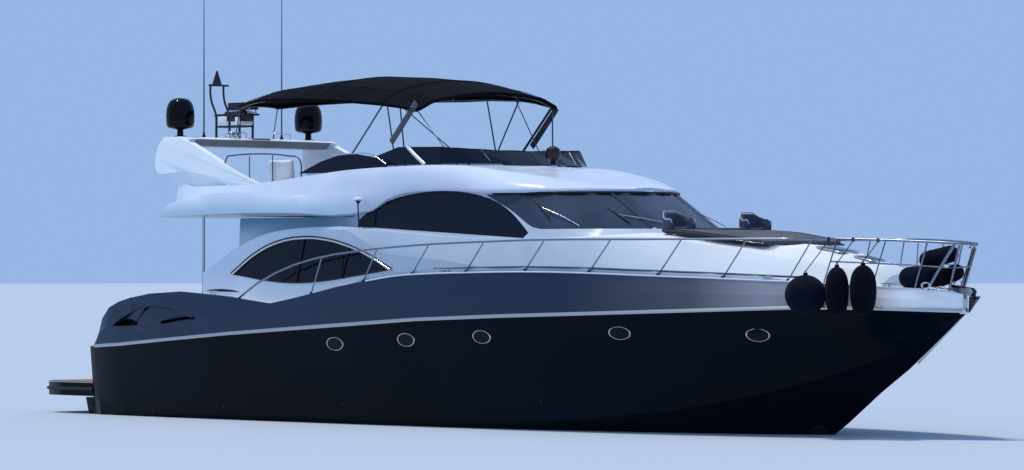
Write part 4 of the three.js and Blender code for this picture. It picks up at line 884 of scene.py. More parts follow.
# Domes of the satellite antennas, radius and height above the arch
DOME = ((0, 0), (0.125, 0), (0.13, 0.004), (0.13, 0.016), (0.062, 0.034), (0.058, 0.13), (0.075, 0.142),
        (0.2, 0.165), (0.232, 0.18), (0.252, 0.205), (0.262, 0.24), (0.2695, 0.31), (0.27, 0.33),
        (0.266, 0.334), (0.266, 0.34), (0.27, 0.344), (0.27, 0.4), (0.266, 0.48), (0.256, 0.55),
        (0.24, 0.605), (0.215, 0.655), (0.18, 0.695), (0.135, 0.722), (0.07, 0.738), (0, 0.742))
DOME_PLACE = (-7.69, 1.607, ARCH_TOP)


def make_domes():
    """Antenna domes on the arch, each with a joint round it and bolts in its foot."""
    x, y, z = DOME_PLACE
    for side, word in ((-1, "starboard"), (1, "port")):
        bolts = [turned([(0, 0), (0.011, 0), (0.009, 0.008), (0, 0.009)],
                        (x + 0.1 * math.cos(a), side * y + 0.1 * math.sin(a), z + 0.016), steps=6)
                 for a in spread(0.5, 0.5 + 1.6 * math.pi, 5)]
        piece_of("radome_shell_" + word, [turned(DOME, (x, side * y, z), steps=56)], "black_gloss",
                 replaces=("radome_" + word,), angle=42)
        piece_of("radome_bolts_" + word, bolts, "stainless")


# Portholes in the topside: x and z of each; then half the length, and the height as a share of it
PORTHOLES = ((-2.17, 1.43), (-0.33, 1.52), (1.52, 1.59), (4.5, 1.68), (6.95, 1.665))
PORTHOLE_HALF = 0.205
PORTHOLE_SQUAT = 0.56


def on_skin(name, parts, x, z):
    """Shapes made facing up at the origin, set on the starboard skin at x and z."""
    normal = side_hit(name, x, z)[1]
    place = Vector((x, side_y(name, x, z), z))
    return [moved(part, place, facing(normal)) for part in parts]


def make_portholes():
    """A bright frame, a dark gasket and a pane for each oval porthole."""
    frames, panes, lips = [], [], []
    squash = (1, PORTHOLE_SQUAT, 1)
    pane = ((0, 0.003), (PORTHOLE_HALF * 0.97, 0.003), (PORTHOLE_HALF, -0.006), (0, -0.006))
    for x, z in PORTHOLES:
        frames += on_skin("hull", [ring(PORTHOLE_HALF, 0.013, (0, 0, 0.002), UP, 40, squash)], x, z)
        lips += on_skin("hull", [ring(PORTHOLE_HALF * 0.9, 0.007, (0, 0, 0.004), UP, 40, squash)], x, z)
        panes += on_skin("hull", [turned(pane, steps=40, stretch=squash)], x, z)
    piece_of("porthole_frames", both_sides(frames), "chrome")
    piece_of("porthole_lips", both_sides(lips), "dark_rubber")
    piece_of("porthole_panes", both_sides(panes), "black_gloss")


# Outline of the after window in the boat's side, x and z: the arch over it, then its sill
AFT_ARCH = ((-5.44, 2.67), (-4.75, 3.05), (-4.11, 3.255), (-3.48, 3.325), (-2.85, 3.295), (-2.23, 3.175),
            (-1.62, 2.975), (-1.12, 2.75))
AFT_SILL = ((-1.12, 2.75), (-1.93, 2.65), (-2.85, 2.55), (-3.67, 2.51), (-4.43, 2.55), (-5.08, 2.63),
            (-5.44, 2.67))
# Where the gasket over the arch meets the sill
AFT_CORNER = (-1.07, 2.762)
# Pillars behind the glass: head and foot, x and z
AFT_PILLARS = ((-3.42, 3.31, -3.66, 2.52), (-2.2, 3.15, -2.42, 2.6))
# The y of the starboard side's face round it
SIDE_FACE = -2.23


def make_window_trims():
    """Bright arch, dark gaskets and pillars of the after windows."""
    arch = [(x, SIDE_FACE - 0.004, z - 0.006) for x, z in AFT_ARCH]
    pipes("aft_window_arch", across([arch]), 0.02, "chrome", sides=5)
    outer = [(x - (0.024 if i < 3 else 0), SIDE_FACE, z + 0.024) for i, (x, z) in enumerate(AFT_ARCH[:-1])]
    outer.append((AFT_CORNER[0], SIDE_FACE, AFT_CORNER[1]))
    sill = [(x, SIDE_FACE + 0.004, z) for x, z in AFT_SILL]
    pipes("aft_window_gaskets", across([outer, sill]), 0.011, "dark_rubber", sides=3)
    pillars = [[(x0, SIDE_FACE + 0.018, z0), (x1, SIDE_FACE + 0.018, z1)] for x0, z0, x1, z1 in AFT_PILLARS]
    pipes("aft_window_pillars", across(pillars), 0.022, "black_gloss", sides=3)


# Slit vent under the after window: x and z
SLIT = ((-6.2, 2.372), (-5.95, 2.392), (-5.7, 2.398), (-5.4, 2.378), (-5.2, 2.343), (-5.45, 2.345),
        (-5.8, 2.352))


def make_slit_vents():
    """A dark slit in each side of the house, with seven small blades."""
    slit = plate([(x, SIDE_FACE - 0.0005, z) for x, z in SLIT], (0, -0.006, 0), 0.002)
    piece_of("slit_vents", both_sides([slit]), "dark_rubber")
    blades = [block((-6.05 + 0.11 * i, -2.238, 2.35), (-5.97 + 0.11 * i, -2.2365, 2.356), 0.001)
              for i in range(7)]
    piece_of("slit_vent_blades", both_sides(blades), "black_plastic")


# Scoop in each quarter: its opening on the skin, x and z
SCOOP = ((-8.66, 1.70), (-8.4, 1.82), (-7.98, 1.975), (-7.65, 2.045), (-7.5, 2.065), (-7.7, 1.95),
         (-7.86, 1.82), (-7.9, 1.715))
# Groove that runs on from the scoop's arch, and the drain slit below it
SCOOP_CREASE = ((-7.42, 2.062), (-7.0, 2.035), (-6.5, 1.965), (-6.12, 1.875))
SCOOP_SLIT = ((-7.15, 1.775), (-6.9, 1.81), (-6.6, 1.845), (-6.3, 1.865), (-6.08, 1.862))
# The recess's floor: y at its aft end, how far it comes out, and the x and length over which it does
SCOOP_DEEP, SCOOP_RISE, SCOOP_AFT, SCOOP_RUN = -2.24, 0.24, -8.75, 0.85


def scoop_floor(x):
    """The recess runs deep at its aft end and comes up to the skin forward."""
    return SCOOP_DEEP - SCOOP_RISE * min(max((x - SCOOP_AFT) / SCOOP_RUN, 0), 1)


def make_scoops():
    """Painted shade: a black sheet inside each quarter's recess, a black slit forward of it and a dark line
    along the groove over both.
    """
    # painted shade: near-black sheet where the recess is in shade
    lining = plate([(x, scoop_floor(x) - 0.003, z) for x, z in SCOOP], (0, -0.003, 0))
    slit = [(x, side_y("topside_band", x, z, 0.002), z) for x, z in SCOOP_SLIT]
    piece_of("scoop_shade_sheets", both_sides([lining]), "recess_painted_shade")
    pipes("scoop_slit_shade", across([slit]), 0.03, "recess_painted_shade", sides=2)
    crease = [(x, side_y("topside_band", x, z), z) for x, z in SCOOP_CREASE]
    pipes("scoop_crease_shade", across([crease]), 0.008, "dark_rubber", sides=2)


# Bulwark cap: x, half-breadth and height; and its part aft of the bright strip
CAP = ((-1.35, 2.61, 2.55), (-0.58, 2.6, 2.64), (0.29, 2.59, 2.68), (1.42, 2.56, 2.7), (2.5, 2.505, 2.71),
       (3.8, 2.38, 2.69), (5.2, 2.13, 2.64), (6.2, 1.87, 2.605), (7.0, 1.63, 2.57), (7.7, 1.38, 2.54),
       (8.4, 1.09, 2.5), (9.0, 0.81, 2.46), (9.5, 0.54, 2.43), (9.9, 0.28, 2.4), (10.1, 0.13, 2.365))
CAP_AFT = ((-4.5, 2.605, 2.195), (-3.95, 2.61, 2.14), (-3.4, 2.61, 2.22), (-2.8, 2.615, 2.32),
           (-2.07, 2.615, 2.45))


def cap_at(x):
    """Half-breadth and height of the bulwark's cap at x."""
    return row_at(CAP_AFT + CAP, x)


def make_bulwark_cap():
    """A bright strip along the edge of the dark topside, and a dark line inboard of it, the painted shadow of
    the side deck over the toe rail.
    """
    strip = [(x, -(y - 0.006), z - 0.004) for x, y, z in CAP]
    pipes("bulwark_cap", across([strip]), 0.014, "white_gelcoat", sides=3)
    # painted shadow: a dark line where the side deck's edge casts shade
    toe = [(x, -(y - 0.11), z + 0.076) for x, y, z in CAP[2:10]]
    pipes("side_deck_shadow_line", across([toe]), 0.02, "antenna_grey", sides=3)


# Wipers of the starboard, centre and port panes: pivot, middle of the blade, and half its run along the glass
WIPERS = (((3.02, -1.62, 3.462), (2.22, -1.745, 3.79), (-0.24, 0.05, 0.165)),
          ((4.2, -0.35, 3.455), (3.42, -1.08, 3.66), (-0.25, -0.02, 0.13)),
          ((3.95, 1.05, 3.462), (3.25, 0.75, 3.79), (-0.22, -0.25, 0.13)))


def make_wipers():
    """A cranked arm and a blade for each pane of the windscreen."""
    arms, blades = [], []
    for pivot, tip, blade in WIPERS:
        pivot, tip, blade = Vector(pivot), Vector(tip), Vector(blade)
        arms.append([pivot + Vector((0, 0, 0.02)), (pivot + tip) / 2 + Vector((0.01, -0.01, 0.04)),
                     tip + Vector((0.01, -0.01, 0.022))])
        blades.append([tip + blade * k + Vector((0.008, -0.008, 0.014)) for k in (-1, 0, 1)])
    pipes("wiper_arms", arms, 0.009, "stainless", sides=3)
    pipes("wiper_blades", blades, 0.014, "dark_rubber", sides=2)


# Cushions: half the gap between two, and the cloth simulation's pressure and length
CUSHION_GAP, CUSHION_PRESSURE, CUSHION_FRAMES = 0.01, 4, 20


def cushion_block(low, high, radius=0.05):
    """A boxy cushion with soft corners, before it is filled out."""
    return block(low, high, min(radius, 0.45 * min(b - a for a, b in zip(low, high))), 4)


def seat_row(cuts, low, high, axis, radius=0.05):
    """Cushions side by side: the cuts between them along an axis, and the other measures, low and high."""
    row = []
    for a, b in zip(cuts, cuts[1:]):
        start, end = list(low), list(high)
        start.insert(axis, a + CUSHION_GAP)
        end.insert(axis, b - CUSHION_GAP)
        row.append(cushion_block(start, end, radius))
    return row


def apply_all(piece):
    """Bakes a piece's modifiers into its mesh."""
    view = bpy.context.evaluated_depsgraph_get()
    made = bpy.data.meshes.new_from_object(piece.evaluated_get(view))
    old = piece.data
    piece.modifiers.clear()
    piece.data = made
    made.name = piece.name
    bpy.data.meshes.remove(old)


def filled_out(name, parts, finish, voxel, cap, replaces=()):
    """Cushions swollen by a short cloth simulation, by cap at most, then smoothed once."""
    bm = assembled(parts)
    mesh = bpy.data.meshes.new(name)
    bm.to_mesh(mesh)
    bm.free()
    pad = bpy.data.objects.new(name, mesh)
    scene.collection.objects.link(pad)
    remesh = pad.modifiers.new("remesh", "REMESH")
    remesh.mode, remesh.voxel_size = "VOXEL", voxel
    apply_all(pad)
    rest = [vert.co.copy() for vert in pad.data.vertices]
    cloth = pad.modifiers.new("cloth", "CLOTH")
    cloth.settings.use_pressure = True
    cloth.settings.uniform_pressure_force = CUSHION_PRESSURE
    cloth.settings.effector_weights.gravity = 0
    cloth.settings.quality = 4
    cloth.point_cache.frame_start, cloth.point_cache.frame_end = 1, CUSHION_FRAMES
    for step in range(1, CUSHION_FRAMES + 1):
        scene.frame_set(step)
    apply_all(pad)
    scene.frame_set(1)
    for vert, home in zip(pad.data.vertices, rest):
        shift = vert.co - home
        if shift.length > cap:
            vert.co = home + shift * (cap / shift.length)
    bm = bmesh.new()
    bm.from_mesh(pad.data)
    bmesh.ops.smooth_vert(bm, verts=bm.verts, factor=0.5, use_axis_x=True, use_axis_y=True, use_axis_z=True)
    bm.to_mesh(pad.data)
    bm.free()
    scene.collection.objects.unlink(pad)
    shaded(pad.data, 80)
    registered(pad, finish, "boat", replaces)
    finer = pad.modifiers.new("finer", "SUBSURF")
    finer.levels = finer.render_levels = 1


def laid_on(skin, points, proud):
    """The points moved to the nearest place on a skin, and a little proud of it."""
    run = []
    for point in points:
        place, normal, _, _ = SKINS[skin].find_nearest(Vector(point))
        run.append(tuple(place + normal * proud))
    return run


def lamp_parts(place, axis, radius, deep):
    """A round lamp: its bowl and its lens."""
    bowl = ((0, -deep), (radius * 0.7, -deep * 0.9), (radius, -deep * 0.2), (radius, 0.006),
            (radius * 0.9, 0.01), (radius * 0.88, 0))
    lens = ((radius * 0.88, 0), (radius * 0.6, 0.012), (0, 0.018))
    return turned(bowl, place, axis, steps=24), turned(lens, place, axis, steps=24)


# Mast frame: the x of its legs; and a horn's outline, radius and length
MAST_AFT, MAST_FORE = -8.35, -7.66
HORN = ((0, 0), (0.02, 0), (0.018, 0.02), (0.014, 0.1), (0.018, 0.22), (0.035, 0.29), (0.05, 0.32),
        (0.046, 0.32), (0.03, 0.28), (0, 0.2))


def make_mast_gear():
    """Panels, scanner motor and light on the mast frame; horns, rails and antenna sockets on the arch."""
    panels = [block((MAST_AFT + 0.1, -0.2, 5.54), (MAST_AFT + 0.34, -0.172, 5.7), 0.01),
              block((MAST_FORE - 0.1, -0.2, 5.54), (MAST_FORE + 0.02, -0.172, 5.68), 0.01),
              block((MAST_FORE - 0.02, -0.172, 5.54), (MAST_FORE + 0.02, 0.165, 5.68), 0.01)]
    piece_of("mast_panels", panels, "white_plastic")
    turntable = turned([(0, 5.735), (0.19, 5.735), (0.2, 5.75), (0.17, 5.79), (0.12, 5.802), (0, 5.802)],
                       (-7.75, 0, 0))
    motor = block((-8.13, -0.166, 5.6), (MAST_FORE + 0.05, 0.16, 5.798), 0.03)
    piece_of("scanner_motor_box", [turntable, motor], "black_plastic")
    x = MAST_FORE + 0.2
    legs = [[(x, y, 5.75), (x, -0.02, 5.98)] for y in (-0.13, 0.09)] + [[(x, -0.13, 5.765), (x, 0.09, 5.765)]]
    pipes("mast_bracket", legs, 0.012, "stainless", smooth=False, sides=2)
    cone = turned([(0.006, 0), (0.055, 0.02), (0.052, 0.03), (0.02, 0.13), (0, 0.16)],
                  (MAST_AFT - 0.18, 0, 6.42), steps=20)
    piece_of("masthead_light", [cone], "lamp")
    horns = []
    for y in (-0.5, -0.62):
        horns.append(turned(HORN, (-7.62, y, 5.31), (1, 0, 0.05), steps=24))
        horns.append(block((-7.6, y - 0.012, ARCH_TOP), (-7.5, y + 0.012, 5.3), 0.004))
    piece_of("horns", horns, "chrome")
    foot = ARCH_TOP - 0.0005
    low = [[(-7.25, a, foot), (-7.25, a, 5.36), (-7.25, b, 5.36), (-7.25, b, foot)]
           for a, b in ((-0.75, -0.35), (0.35, 0.75))]
    pipes("arch_grab_rails", low, 0.012, "stainless", smooth=False, sides=3)
    cup = ((0, 0), (0.035, 0), (0.035, 0.05), (0.02, 0.07), (0.02, 0.11), (0, 0.11))
    cups = [turned(cup, (-7.75, y, ARCH_TOP + 0.0003), steps=20) for y in (-0.975, 0.975)]
    piece_of("antenna_sockets", cups, "black_plastic")


# Starboard joints of the upper screen: name, finish, radius, foot and head
SCREEN_JOINTS = (("screen_pillars", "white_gelcoat", 0.035, (-0.72, -1.77, 4.6), (-1.25, -1.69, 4.93)),
                 ("screen_joints", "stainless", 0.014, (0.22, -1.05, 4.62), (-0.03, -1.1, 4.9)))


def make_screen_joints():
    """Joints between the upper screen's panes, and the rubber on its top edge."""
    for name, finish, radius, foot, head in SCREEN_JOINTS:
        middle = tuple((u + v) / 2 for u, v in zip(foot, head))
        pipes(name, across([laid_on("fly_windscreen", [foot, middle, head], 0.004)]), radius, finish)
    rim = []
    for a in spread(-math.pi / 2, math.pi / 2, 15):
        fore = 0.48 * math.cos(a)
        rim.append((-0.35 + (fore - 0.005), 1.7 * math.sin(a), 4.93 - 0.12 * max(0, 0.15 + fore)))
    pipes("screen_top_edge", [laid_on("fly_windscreen", rim, 0.003)], 0.01, "dark_rubber", sides=3)


# Hatches in the foredeck's coachroof: middle x, y and half sizes; then the breadth of the frame round a pane
DECK_HATCHES = ((7.45, 0.0, 0.27, 0.27), (8.15, 0.0, 0.2, 0.2))
HATCH_RIM = 0.035


def make_hatches():
    """Framed panes that follow the coachroof's slope, with two hinges each."""
    frames, panes, hinges = [], [], []
    for x, y, half_x, half_y in DECK_HATCHES:
        z = top_z("deck", x, y)
        fall = top_z("deck", x - half_x, y) - top_z("deck", x + half_x, y)
        slope = turn_about("Y", math.degrees(math.atan2(fall, 2 * half_x)))
        frames.append(block((x - half_x, y - half_y, z - 0.01), (x + half_x, y + half_y, z + 0.018), 0.012))
        in_x, in_y = half_x - HATCH_RIM, half_y - HATCH_RIM
        panes.append(block((x - in_x, y - in_y, z + 0.012), (x + in_x, y + in_y, z + 0.024), 0.006))
        for middle in (y - half_y * 0.55, y + half_y * 0.55):
            hinges.append(block((x + half_x - 0.02, middle - 0.025, z + 0.006),
                                (x + half_x + 0.035, middle + 0.025, z + 0.024), 0.006))
        for shape in (frames[-1], panes[-1], *hinges[-2:]):
            moved(shape, turn=slope, about=(x, y, z))
    piece_of("hatch_frames", frames, "stainless")
    piece_of("hatch_panes", panes, "black_gloss")
    piece_of("hatch_hinges", hinges, "chrome")


# Cleats on the deck's edge: x; then their outlines, radius and length
CLEATS = (-5.6, 0.6, 7.2, 9.1)
CLEAT_FOOT = ((0, 0), (0.024, 0), (0.016, 0.015), (0.014, 0.05), (0, 0.05))
CLEAT_BAR = ((0, -0.14), (0.01, -0.135), (0.016, -0.06), (0.018, 0), (0.016, 0.06), (0.01, 0.135), (0, 0.14))


def make_cleats():
    """Cleats on two feet, inboard of the bulwark's cap."""
    shapes = []
    for x in CLEATS:
        y = -(cap_at(x)[0] - 0.075) if x > CAP_AFT[0][0] else -2.545
        z = top_z("topside_band", x, y)
        shapes += [turned(CLEAT_FOOT, (x + along, y, z), steps=14) for along in (-0.05, 0.05)]
        shapes.append(turned(CLEAT_BAR, (x, y, z + 0.056), (1, 0, 0), steps=12))
    piece_of("cleats", both_sides(shapes), "chrome")


def make_brow_gear():
    """The aerial beside the brow, and the rubber along the head of the windscreen and over its posts."""
    foot, bend, top = (-2.03, -2.14, 3.47), (-2.045, -2.15, 3.7), (-2.06, -2.145, 3.9)
    pipes("side_aerial_stalk", across([[foot, bend, top]]), 0.012, "dark_rubber", sides=3)
    funnel = turned([(0, 0), (0.012, 0), (0.02, 0.03), (0.045, 0.07), (0.078, 0.085), (0, 0.085)],
                    top, steps=28)
    piece_of("side_aerial_funnel", both_sides([funnel]), "dark_rubber")
    head = turned([(0, 0.085), (0.08, 0.085), (0.088, 0.1), (0.084, 0.124), (0.05, 0.138), (0, 0.142)],
                  top, steps=28)
    piece_of("side_aerial_head", both_sides([head]), "white_plastic")
    brow = [(0.917 + 2.271 * math.cos(a), 1.871 * math.sin(a), 4.072) for a in spread(-1.48, 1.48, 33)]
    pipes("brow_gasket", [brow], 0.024, "dark_rubber", sides=3)
    covers = []
    for y in (-0.79, 0.79):
        run = [SKINS["deckhouse"].ray_cast(Vector((AHEAD, y, z)), Vector((-1, 0, 0)))[0]
               for z in spread(3.46, 4.05, 5)]
        covers.append([point + Vector((-0.01, 0, -0.012)) for point in run])
    pipes("windscreen_post_covers", covers, 0.036, "screen_glass")


# Grab rail round the upper seat: its y, the x of its ends, and the x and z of its bends
GRAB_RAIL_Y = -1.84
GRAB_RAIL_ENDS = (-6.09, -3.94)
GRAB_RAIL = ((-6.05, 4.84), (-5.9, 4.87), (-4.28, 4.83), (-4.0, 4.76))


def make_fly_trim():
    """Bright strip over the flybridge's side pane, the grab rail round its seat, and the canopy's straps."""
    strip = [(x, -1.887, z) for x, z in ((-3.056, 4.825), (-2.486, 4.834), (-1.977, 4.802), (-1.605, 4.63))]
    pipes("side_pane_strip", across([strip]), 0.012, "chrome", sides=3)
    aft, fore = [(x, top_z("flybridge", x, GRAB_RAIL_Y)) for x in GRAB_RAIL_ENDS]
    rail = [(x, GRAB_RAIL_Y, z) for x, z in (aft, *GRAB_RAIL, fore)]
    posts = [[(x, GRAB_RAIL_Y, top_z("flybridge", x, GRAB_RAIL_Y) - 0.01), (x, GRAB_RAIL_Y, 4.85)]
             for x in (-5.4, -4.75)]
    pipes("seat_grab_rail", across([rail]), 0.014, "frame_steel", sides=3)
    pipes("seat_grab_rail_posts", across(posts), 0.01, "frame_steel", smooth=False, sides=2)
    head, foot = Vector((-0.954, 1.75, 5.711)), Vector((-1.62, 1.75, 5.01))
    breadth = Vector((0.725, 0, -0.689)) * 0.065
    strap = plate([head + breadth, foot + breadth, foot - breadth, head - breadth], (0, 0.004, 0), 0.001)
    piece_of("canopy_strap", both_sides([strap]), "grey_canvas")


# Sunpad on the coachroof: x, half-breadth and height under it
SUNPAD = ((4.75, 1.3, 3.375), (5.4, 1.3, 3.33), (6.07, 1.18, 3.25), (6.7, 0.98, 3.17))
# The pads' edges as shares of the half-breadth; their ends; and their thickness
SUNPAD_EDGES = ((-0.995, -0.335), (-0.325, 0.325), (0.335, 0.995))
SUNPAD_AFT, SUNPAD_FORE, SUNPAD_THICK = 4.77, 6.68, 0.062
# The piping's places as shares of the half-breadth
SUNPAD_PIPING = [middle + side * (0.66 / 2 - 0.004) for middle in (-0.665, 0.0, 0.665) for side in (-1, 1)]


def sunpad_line(low, high):
    """Places along the sunpad: x, half-breadth and height."""
    return [(x, *row_at(SUNPAD, x)) for x in spread(low, high, 12)]


def make_sunpad():
    """Three pads side by side that follow the fall of the coachroof."""
    pads = []
    for low, high in SUNPAD_EDGES:
        bm = bmesh.new()
        bmesh.ops.create_grid(bm, x_segments=26, y_segments=10, size=1)
        for vert in bm.verts:
            x = SUNPAD_AFT + (SUNPAD_FORE - SUNPAD_AFT) * (vert.co.x + 1) / 2
            half, z = row_at(SUNPAD, x)
            y = half * (low + (high - low) * (vert.co.y + 1) / 2)
            vert.co = (x, y, z - 0.012)
        top = bmesh.ops.extrude_face_region(bm, geom=bm.faces[:])["geom"]
        for vert in corners(top):
            vert.co.z += SUNPAD_THICK
        bmesh.ops.recalc_face_normals(bm, faces=bm.faces)
        pads.append(bm)
    filled_out("sunpad_cushions", pads, "grey_canvas", 0.022, 0.016, ("foredeck_sunpad",))
    piping = [[(x, half * t, z + 0.05) for x, half, z in sunpad_line(4.8, 6.64)] for t in SUNPAD_PIPING]
    pipes("sunpad_piping", piping, 0.006, "black_canvas", sides=2)
    tray = [(x, -(half + 0.015), z - 0.012) for x, half, z in sunpad_line(SUNPAD[0][0], SUNPAD[-1][0])]
    front = [(6.715, y, SUNPAD[-1][2] - 0.01) for y in (-0.98, 0, 0.98)]
    pipes("sunpad_lip", across([tray]) + [front], 0.016, "black_plastic", sides=3)


# Shell backs forward of the windscreen: radius and height, up the outer face and down the inner one
SHELL = ((0.262, 3.362), (0.268, 3.46), (0.272, 3.58), (0.266, 3.68), (0.25, 3.722), (0.226, 3.722),
         (0.214, 3.68), (0.21, 3.56), (0.206, 3.44), (0.202, 3.362))
SHELL_X, SHELL_Y, SHELL_STRETCH, SHELL_RIM = 4.74, 0.95, 1.15, 3.728
# Planes that round the shell's top off: a point beside its middle, and the way each faces
SHELL_CUTS = (((0.1, 0, 3.36), (1, 0, 0)), ((-0.02, 0, 3.68), (0.7, 0, 1)), ((0.1, 0, 3.5), (1.8, 0, 1)),
              ((0, 0.24, 3.64), (0, 0.9, 1)), ((0, -0.24, 3.64), (0, -0.9, 1)))


def make_backrests():
    """Curved shell seats at the forward end of the house, with a low bench between them."""
    radius = SHELL[0][0]
    shells, rims = [], []
    for middle in (-SHELL_Y, SHELL_Y):
        base = Vector((SHELL_X, middle, 0))
        shell = turned(SHELL + SHELL[:1], base, steps=48, stretch=(1, SHELL_STRETCH, 1))
        for point, out in SHELL_CUTS:
            cut = bmesh.ops.bisect_plane(shell, geom=shell.verts[:] + shell.edges[:] + shell.faces[:],
                                         dist=MERGED, plane_co=base + Vector(point), plane_no=out,
                                         clear_outer=True)["geom_cut"]
            bmesh.ops.holes_fill(shell, edges=[item for item in cut if isinstance(item, bmesh.types.BMEdge)])
        bmesh.ops.recalc_face_normals(shell, faces=shell.faces)
        shells.append(shell)
        edge = []
        for a in spread(1.25, 2 * math.pi - 1.25, 31):
            x, y = radius * math.cos(a), radius * SHELL_STRETCH * math.sin(a)
            tops = [point[2] - (out[0] * (x - point[0]) + out[1] * (y - point[1]))
                    for point, out in SHELL_CUTS[1:]]
            edge.append(base + Vector((x, y, min(SHELL_RIM, *tops))))
        rims.append(edge)
    shells.append(block((4.57, -1.24, 3.37), (4.72, 1.24, 3.455), 0.025))
    filled_out("foredeck_seat_pads", shells, "seat_grey", 0.018, 0.01, ("foredeck_backrests",))
    pipes("seat_pad_rims", rims, 0.011, "seat_piping", sides=3)


def make_fly_cushions():
    """Seat and back cushions on the moulded bases of the flybridge, and their bases."""
    bases = [block((-5.995, -1.805, FLY_SOLE), (-2.76, -1.26, 4.11), 0.02),
             block((-5.99, -1.28, FLY_SOLE), (-5.41, 0.49, 4.11), 0.02)]
    piece_of("fly_seat_bases", bases, "white_gelcoat", replaces=("fly_seating",))
    pads = seat_row(spread(-5.36, -2.78, 5), (-1.67, 4.115), (-1.25, 4.225), 0)
    pads += seat_row((-1.66, -0.95, -0.23, 0.48), (-5.85, 4.115), (-5.4, 4.225), 1)
    for aft, fore, top in ((-5.36, -4.95, 4.3), (-4.95, -4.28, 4.78), (-4.28, -3.43, 4.3)):
        pads += seat_row((aft, fore), (-1.8, 4.13), (-1.69, top), 0)
    pads += seat_row((-1.66, -0.6, 0.48), (-5.99, 4.13), (-5.87, 4.235), 1)
    filled_out("fly_cushions", pads, "upholstery", 0.025, 0.02)


def make_cockpit_settee():
    """The cockpit's settee: its moulded base and back, its cushions and their piping."""
    base = [block((-8.198, -1.235, SOLE), (-7.605, 1.235, 1.79), 0.02),
            block((-8.198, -1.235, 1.75), (-8.13, 1.235, 2.2), 0.02)]
    piece_of("settee_base", base, "white_gelcoat", replaces=("cockpit_settee",))
    cuts = spread(-1.23, 1.23, 4)
    pads = seat_row(cuts, (-8.05, 1.797), (-7.61, 1.905), 1)
    pads += seat_row(cuts, (-8.125, 1.9), (-8.055, 2.225), 1, radius=0.03)
    filled_out("settee_cushions", pads, "leather", 0.022, 0.016)
    welts = [[(-7.63, a + 0.02, 1.9), (-7.63, b - 0.02, 1.9)] for a, b in zip(cuts, cuts[1:])]
    pipes("settee_piping", welts, 0.005, "upholstery", smooth=False, sides=2)


def make_saloon():
    """Sofa and galley in the saloon, with the sofa's cushions."""
    wood = [block((-4.745, -1.785, SOLE), (-1.505, 1.785, SOLE + 0.029), 0.004),
            block((-4.695, -1.775, SOLE + 0.02), (-1.705, -1.06, 1.74), 0.015),
            block((-4.695, 1.105, SOLE + 0.02), (-1.505, 1.775, 2.31), 0.012)]
    doors = spread(-4.62, -2.1, 5)
    wood += [block((x, 1.098, 1.56), (x + 0.5, 1.108, 2.22), 0.006) for x in doors]
    piece_of("saloon_joinery", wood, "varnished_wood", replaces=("saloon_furniture",))
    piece_of("galley_top", [block((-4.7, 1.09, 2.31), (-1.5, 1.778, 2.345), 0.01)], "black_gloss")
    handles = [[(x + 0.43, y, z) for y, z in ((1.09, 2.12), (1.078, 2.12), (1.078, 1.98), (1.09, 1.98))]
               for x in doors]
    pipes("galley_handles", handles, 0.006, "chrome", smooth=False, sides=2)
    cuts = spread(-4.68, -1.72, 5)
    pads = seat_row(cuts, (-1.62, 1.745), (-1.07, 1.885), 0)
    pads += seat_row(cuts, (-1.77, 1.9), (-1.6, 2.33), 0, radius=0.06)
    filled_out("sofa_cushions", pads, "leather", 0.028, 0.02)


# Both steering places, the upper one first: each wheel's place and axis, and each throttle's place
WHEELS = (((-1.395, -0.7, 4.563), (-0.7, 0, 0.7)), ((0.45, -0.85, 3.0), (-0.8, 0, 0.6)))
WHEEL_RADIUS = 0.175
THROTTLES = ((-1.33, -0.28, 4.52), (0.62, -0.42, 3.1))
# Their screens: place, tilt, half length and half breadth, height of the back, and the middle of each
SCREENS = (((-1.14, 0, 4.655), -28, 0.2, 0.2, 0.005, (-1.02, -0.45)),
           ((0.9, 0, 3.232), -20.5, 0.14, 0.19, 0.004, (-1.3, -0.85, -0.4)))


def wheel_parts(place, axis):
    """A steering wheel: its rim, and its hub with three spokes."""
    hub = turned([(0, -0.03), (0.045, -0.02), (0.05, 0), (0.03, 0.012), (0, 0.014)], steps=24)
    spokes = [moved(block((0.03, -0.014, -0.006), (WHEEL_RADIUS - 0.004, 0.014, 0.004), 0.004),
                    turn=turn_about("Z", 90 + 120 * i)) for i in range(3)]
    rim = ring(WHEEL_RADIUS, 0.015, place, axis, 40)
    return rim, [moved(part, place, facing(axis)) for part in [hub] + spokes]


def make_helms():
    """Wheels, screens and throttles of both steering places."""
    rims, hubs = zip(*[wheel_parts(place, axis) for place, axis in WHEELS])
    piece_of("wheel_rims", rims, "black_plastic")
    piece_of("wheel_hubs", [part for hub in hubs for part in hub], "chrome")
    screens = [moved(block((-half_x, y - half_y, back), (half_x, y + half_y, 0.012), 0.004), place,
                     turn_about("Y", tilt))
               for place, tilt, half_x, half_y, back, middles in SCREENS for y in middles]
    piece_of("helm_screens", screens, "screen")
    base = ((0, -0.02), (0.05, -0.02), (0.05, 0.02), (0.035, 0.035), (0, 0.035))
    piece_of("throttle_bases", [turned(base, place, (0, 1, 0), steps=20) for place in THROTTLES],
             "black_plastic")
    levers = [[(x, y + side, z), (x - 0.02, y + side, z + 0.1), (x - 0.03, y + side, z + 0.13)]
              for x, y, z in THROTTLES for side in (-0.028, 0.028)]
    pipes("throttle_levers", levers, 0.008, "chrome", sides=3)


# Stair from the cockpit to the flybridge: the height of its head, its steps, its foot's x and its run
STAIR_HEAD, STAIR_STEPS, STAIR_FOOT, STAIR_RUN = 3.78, 8, -5.68, 1.19


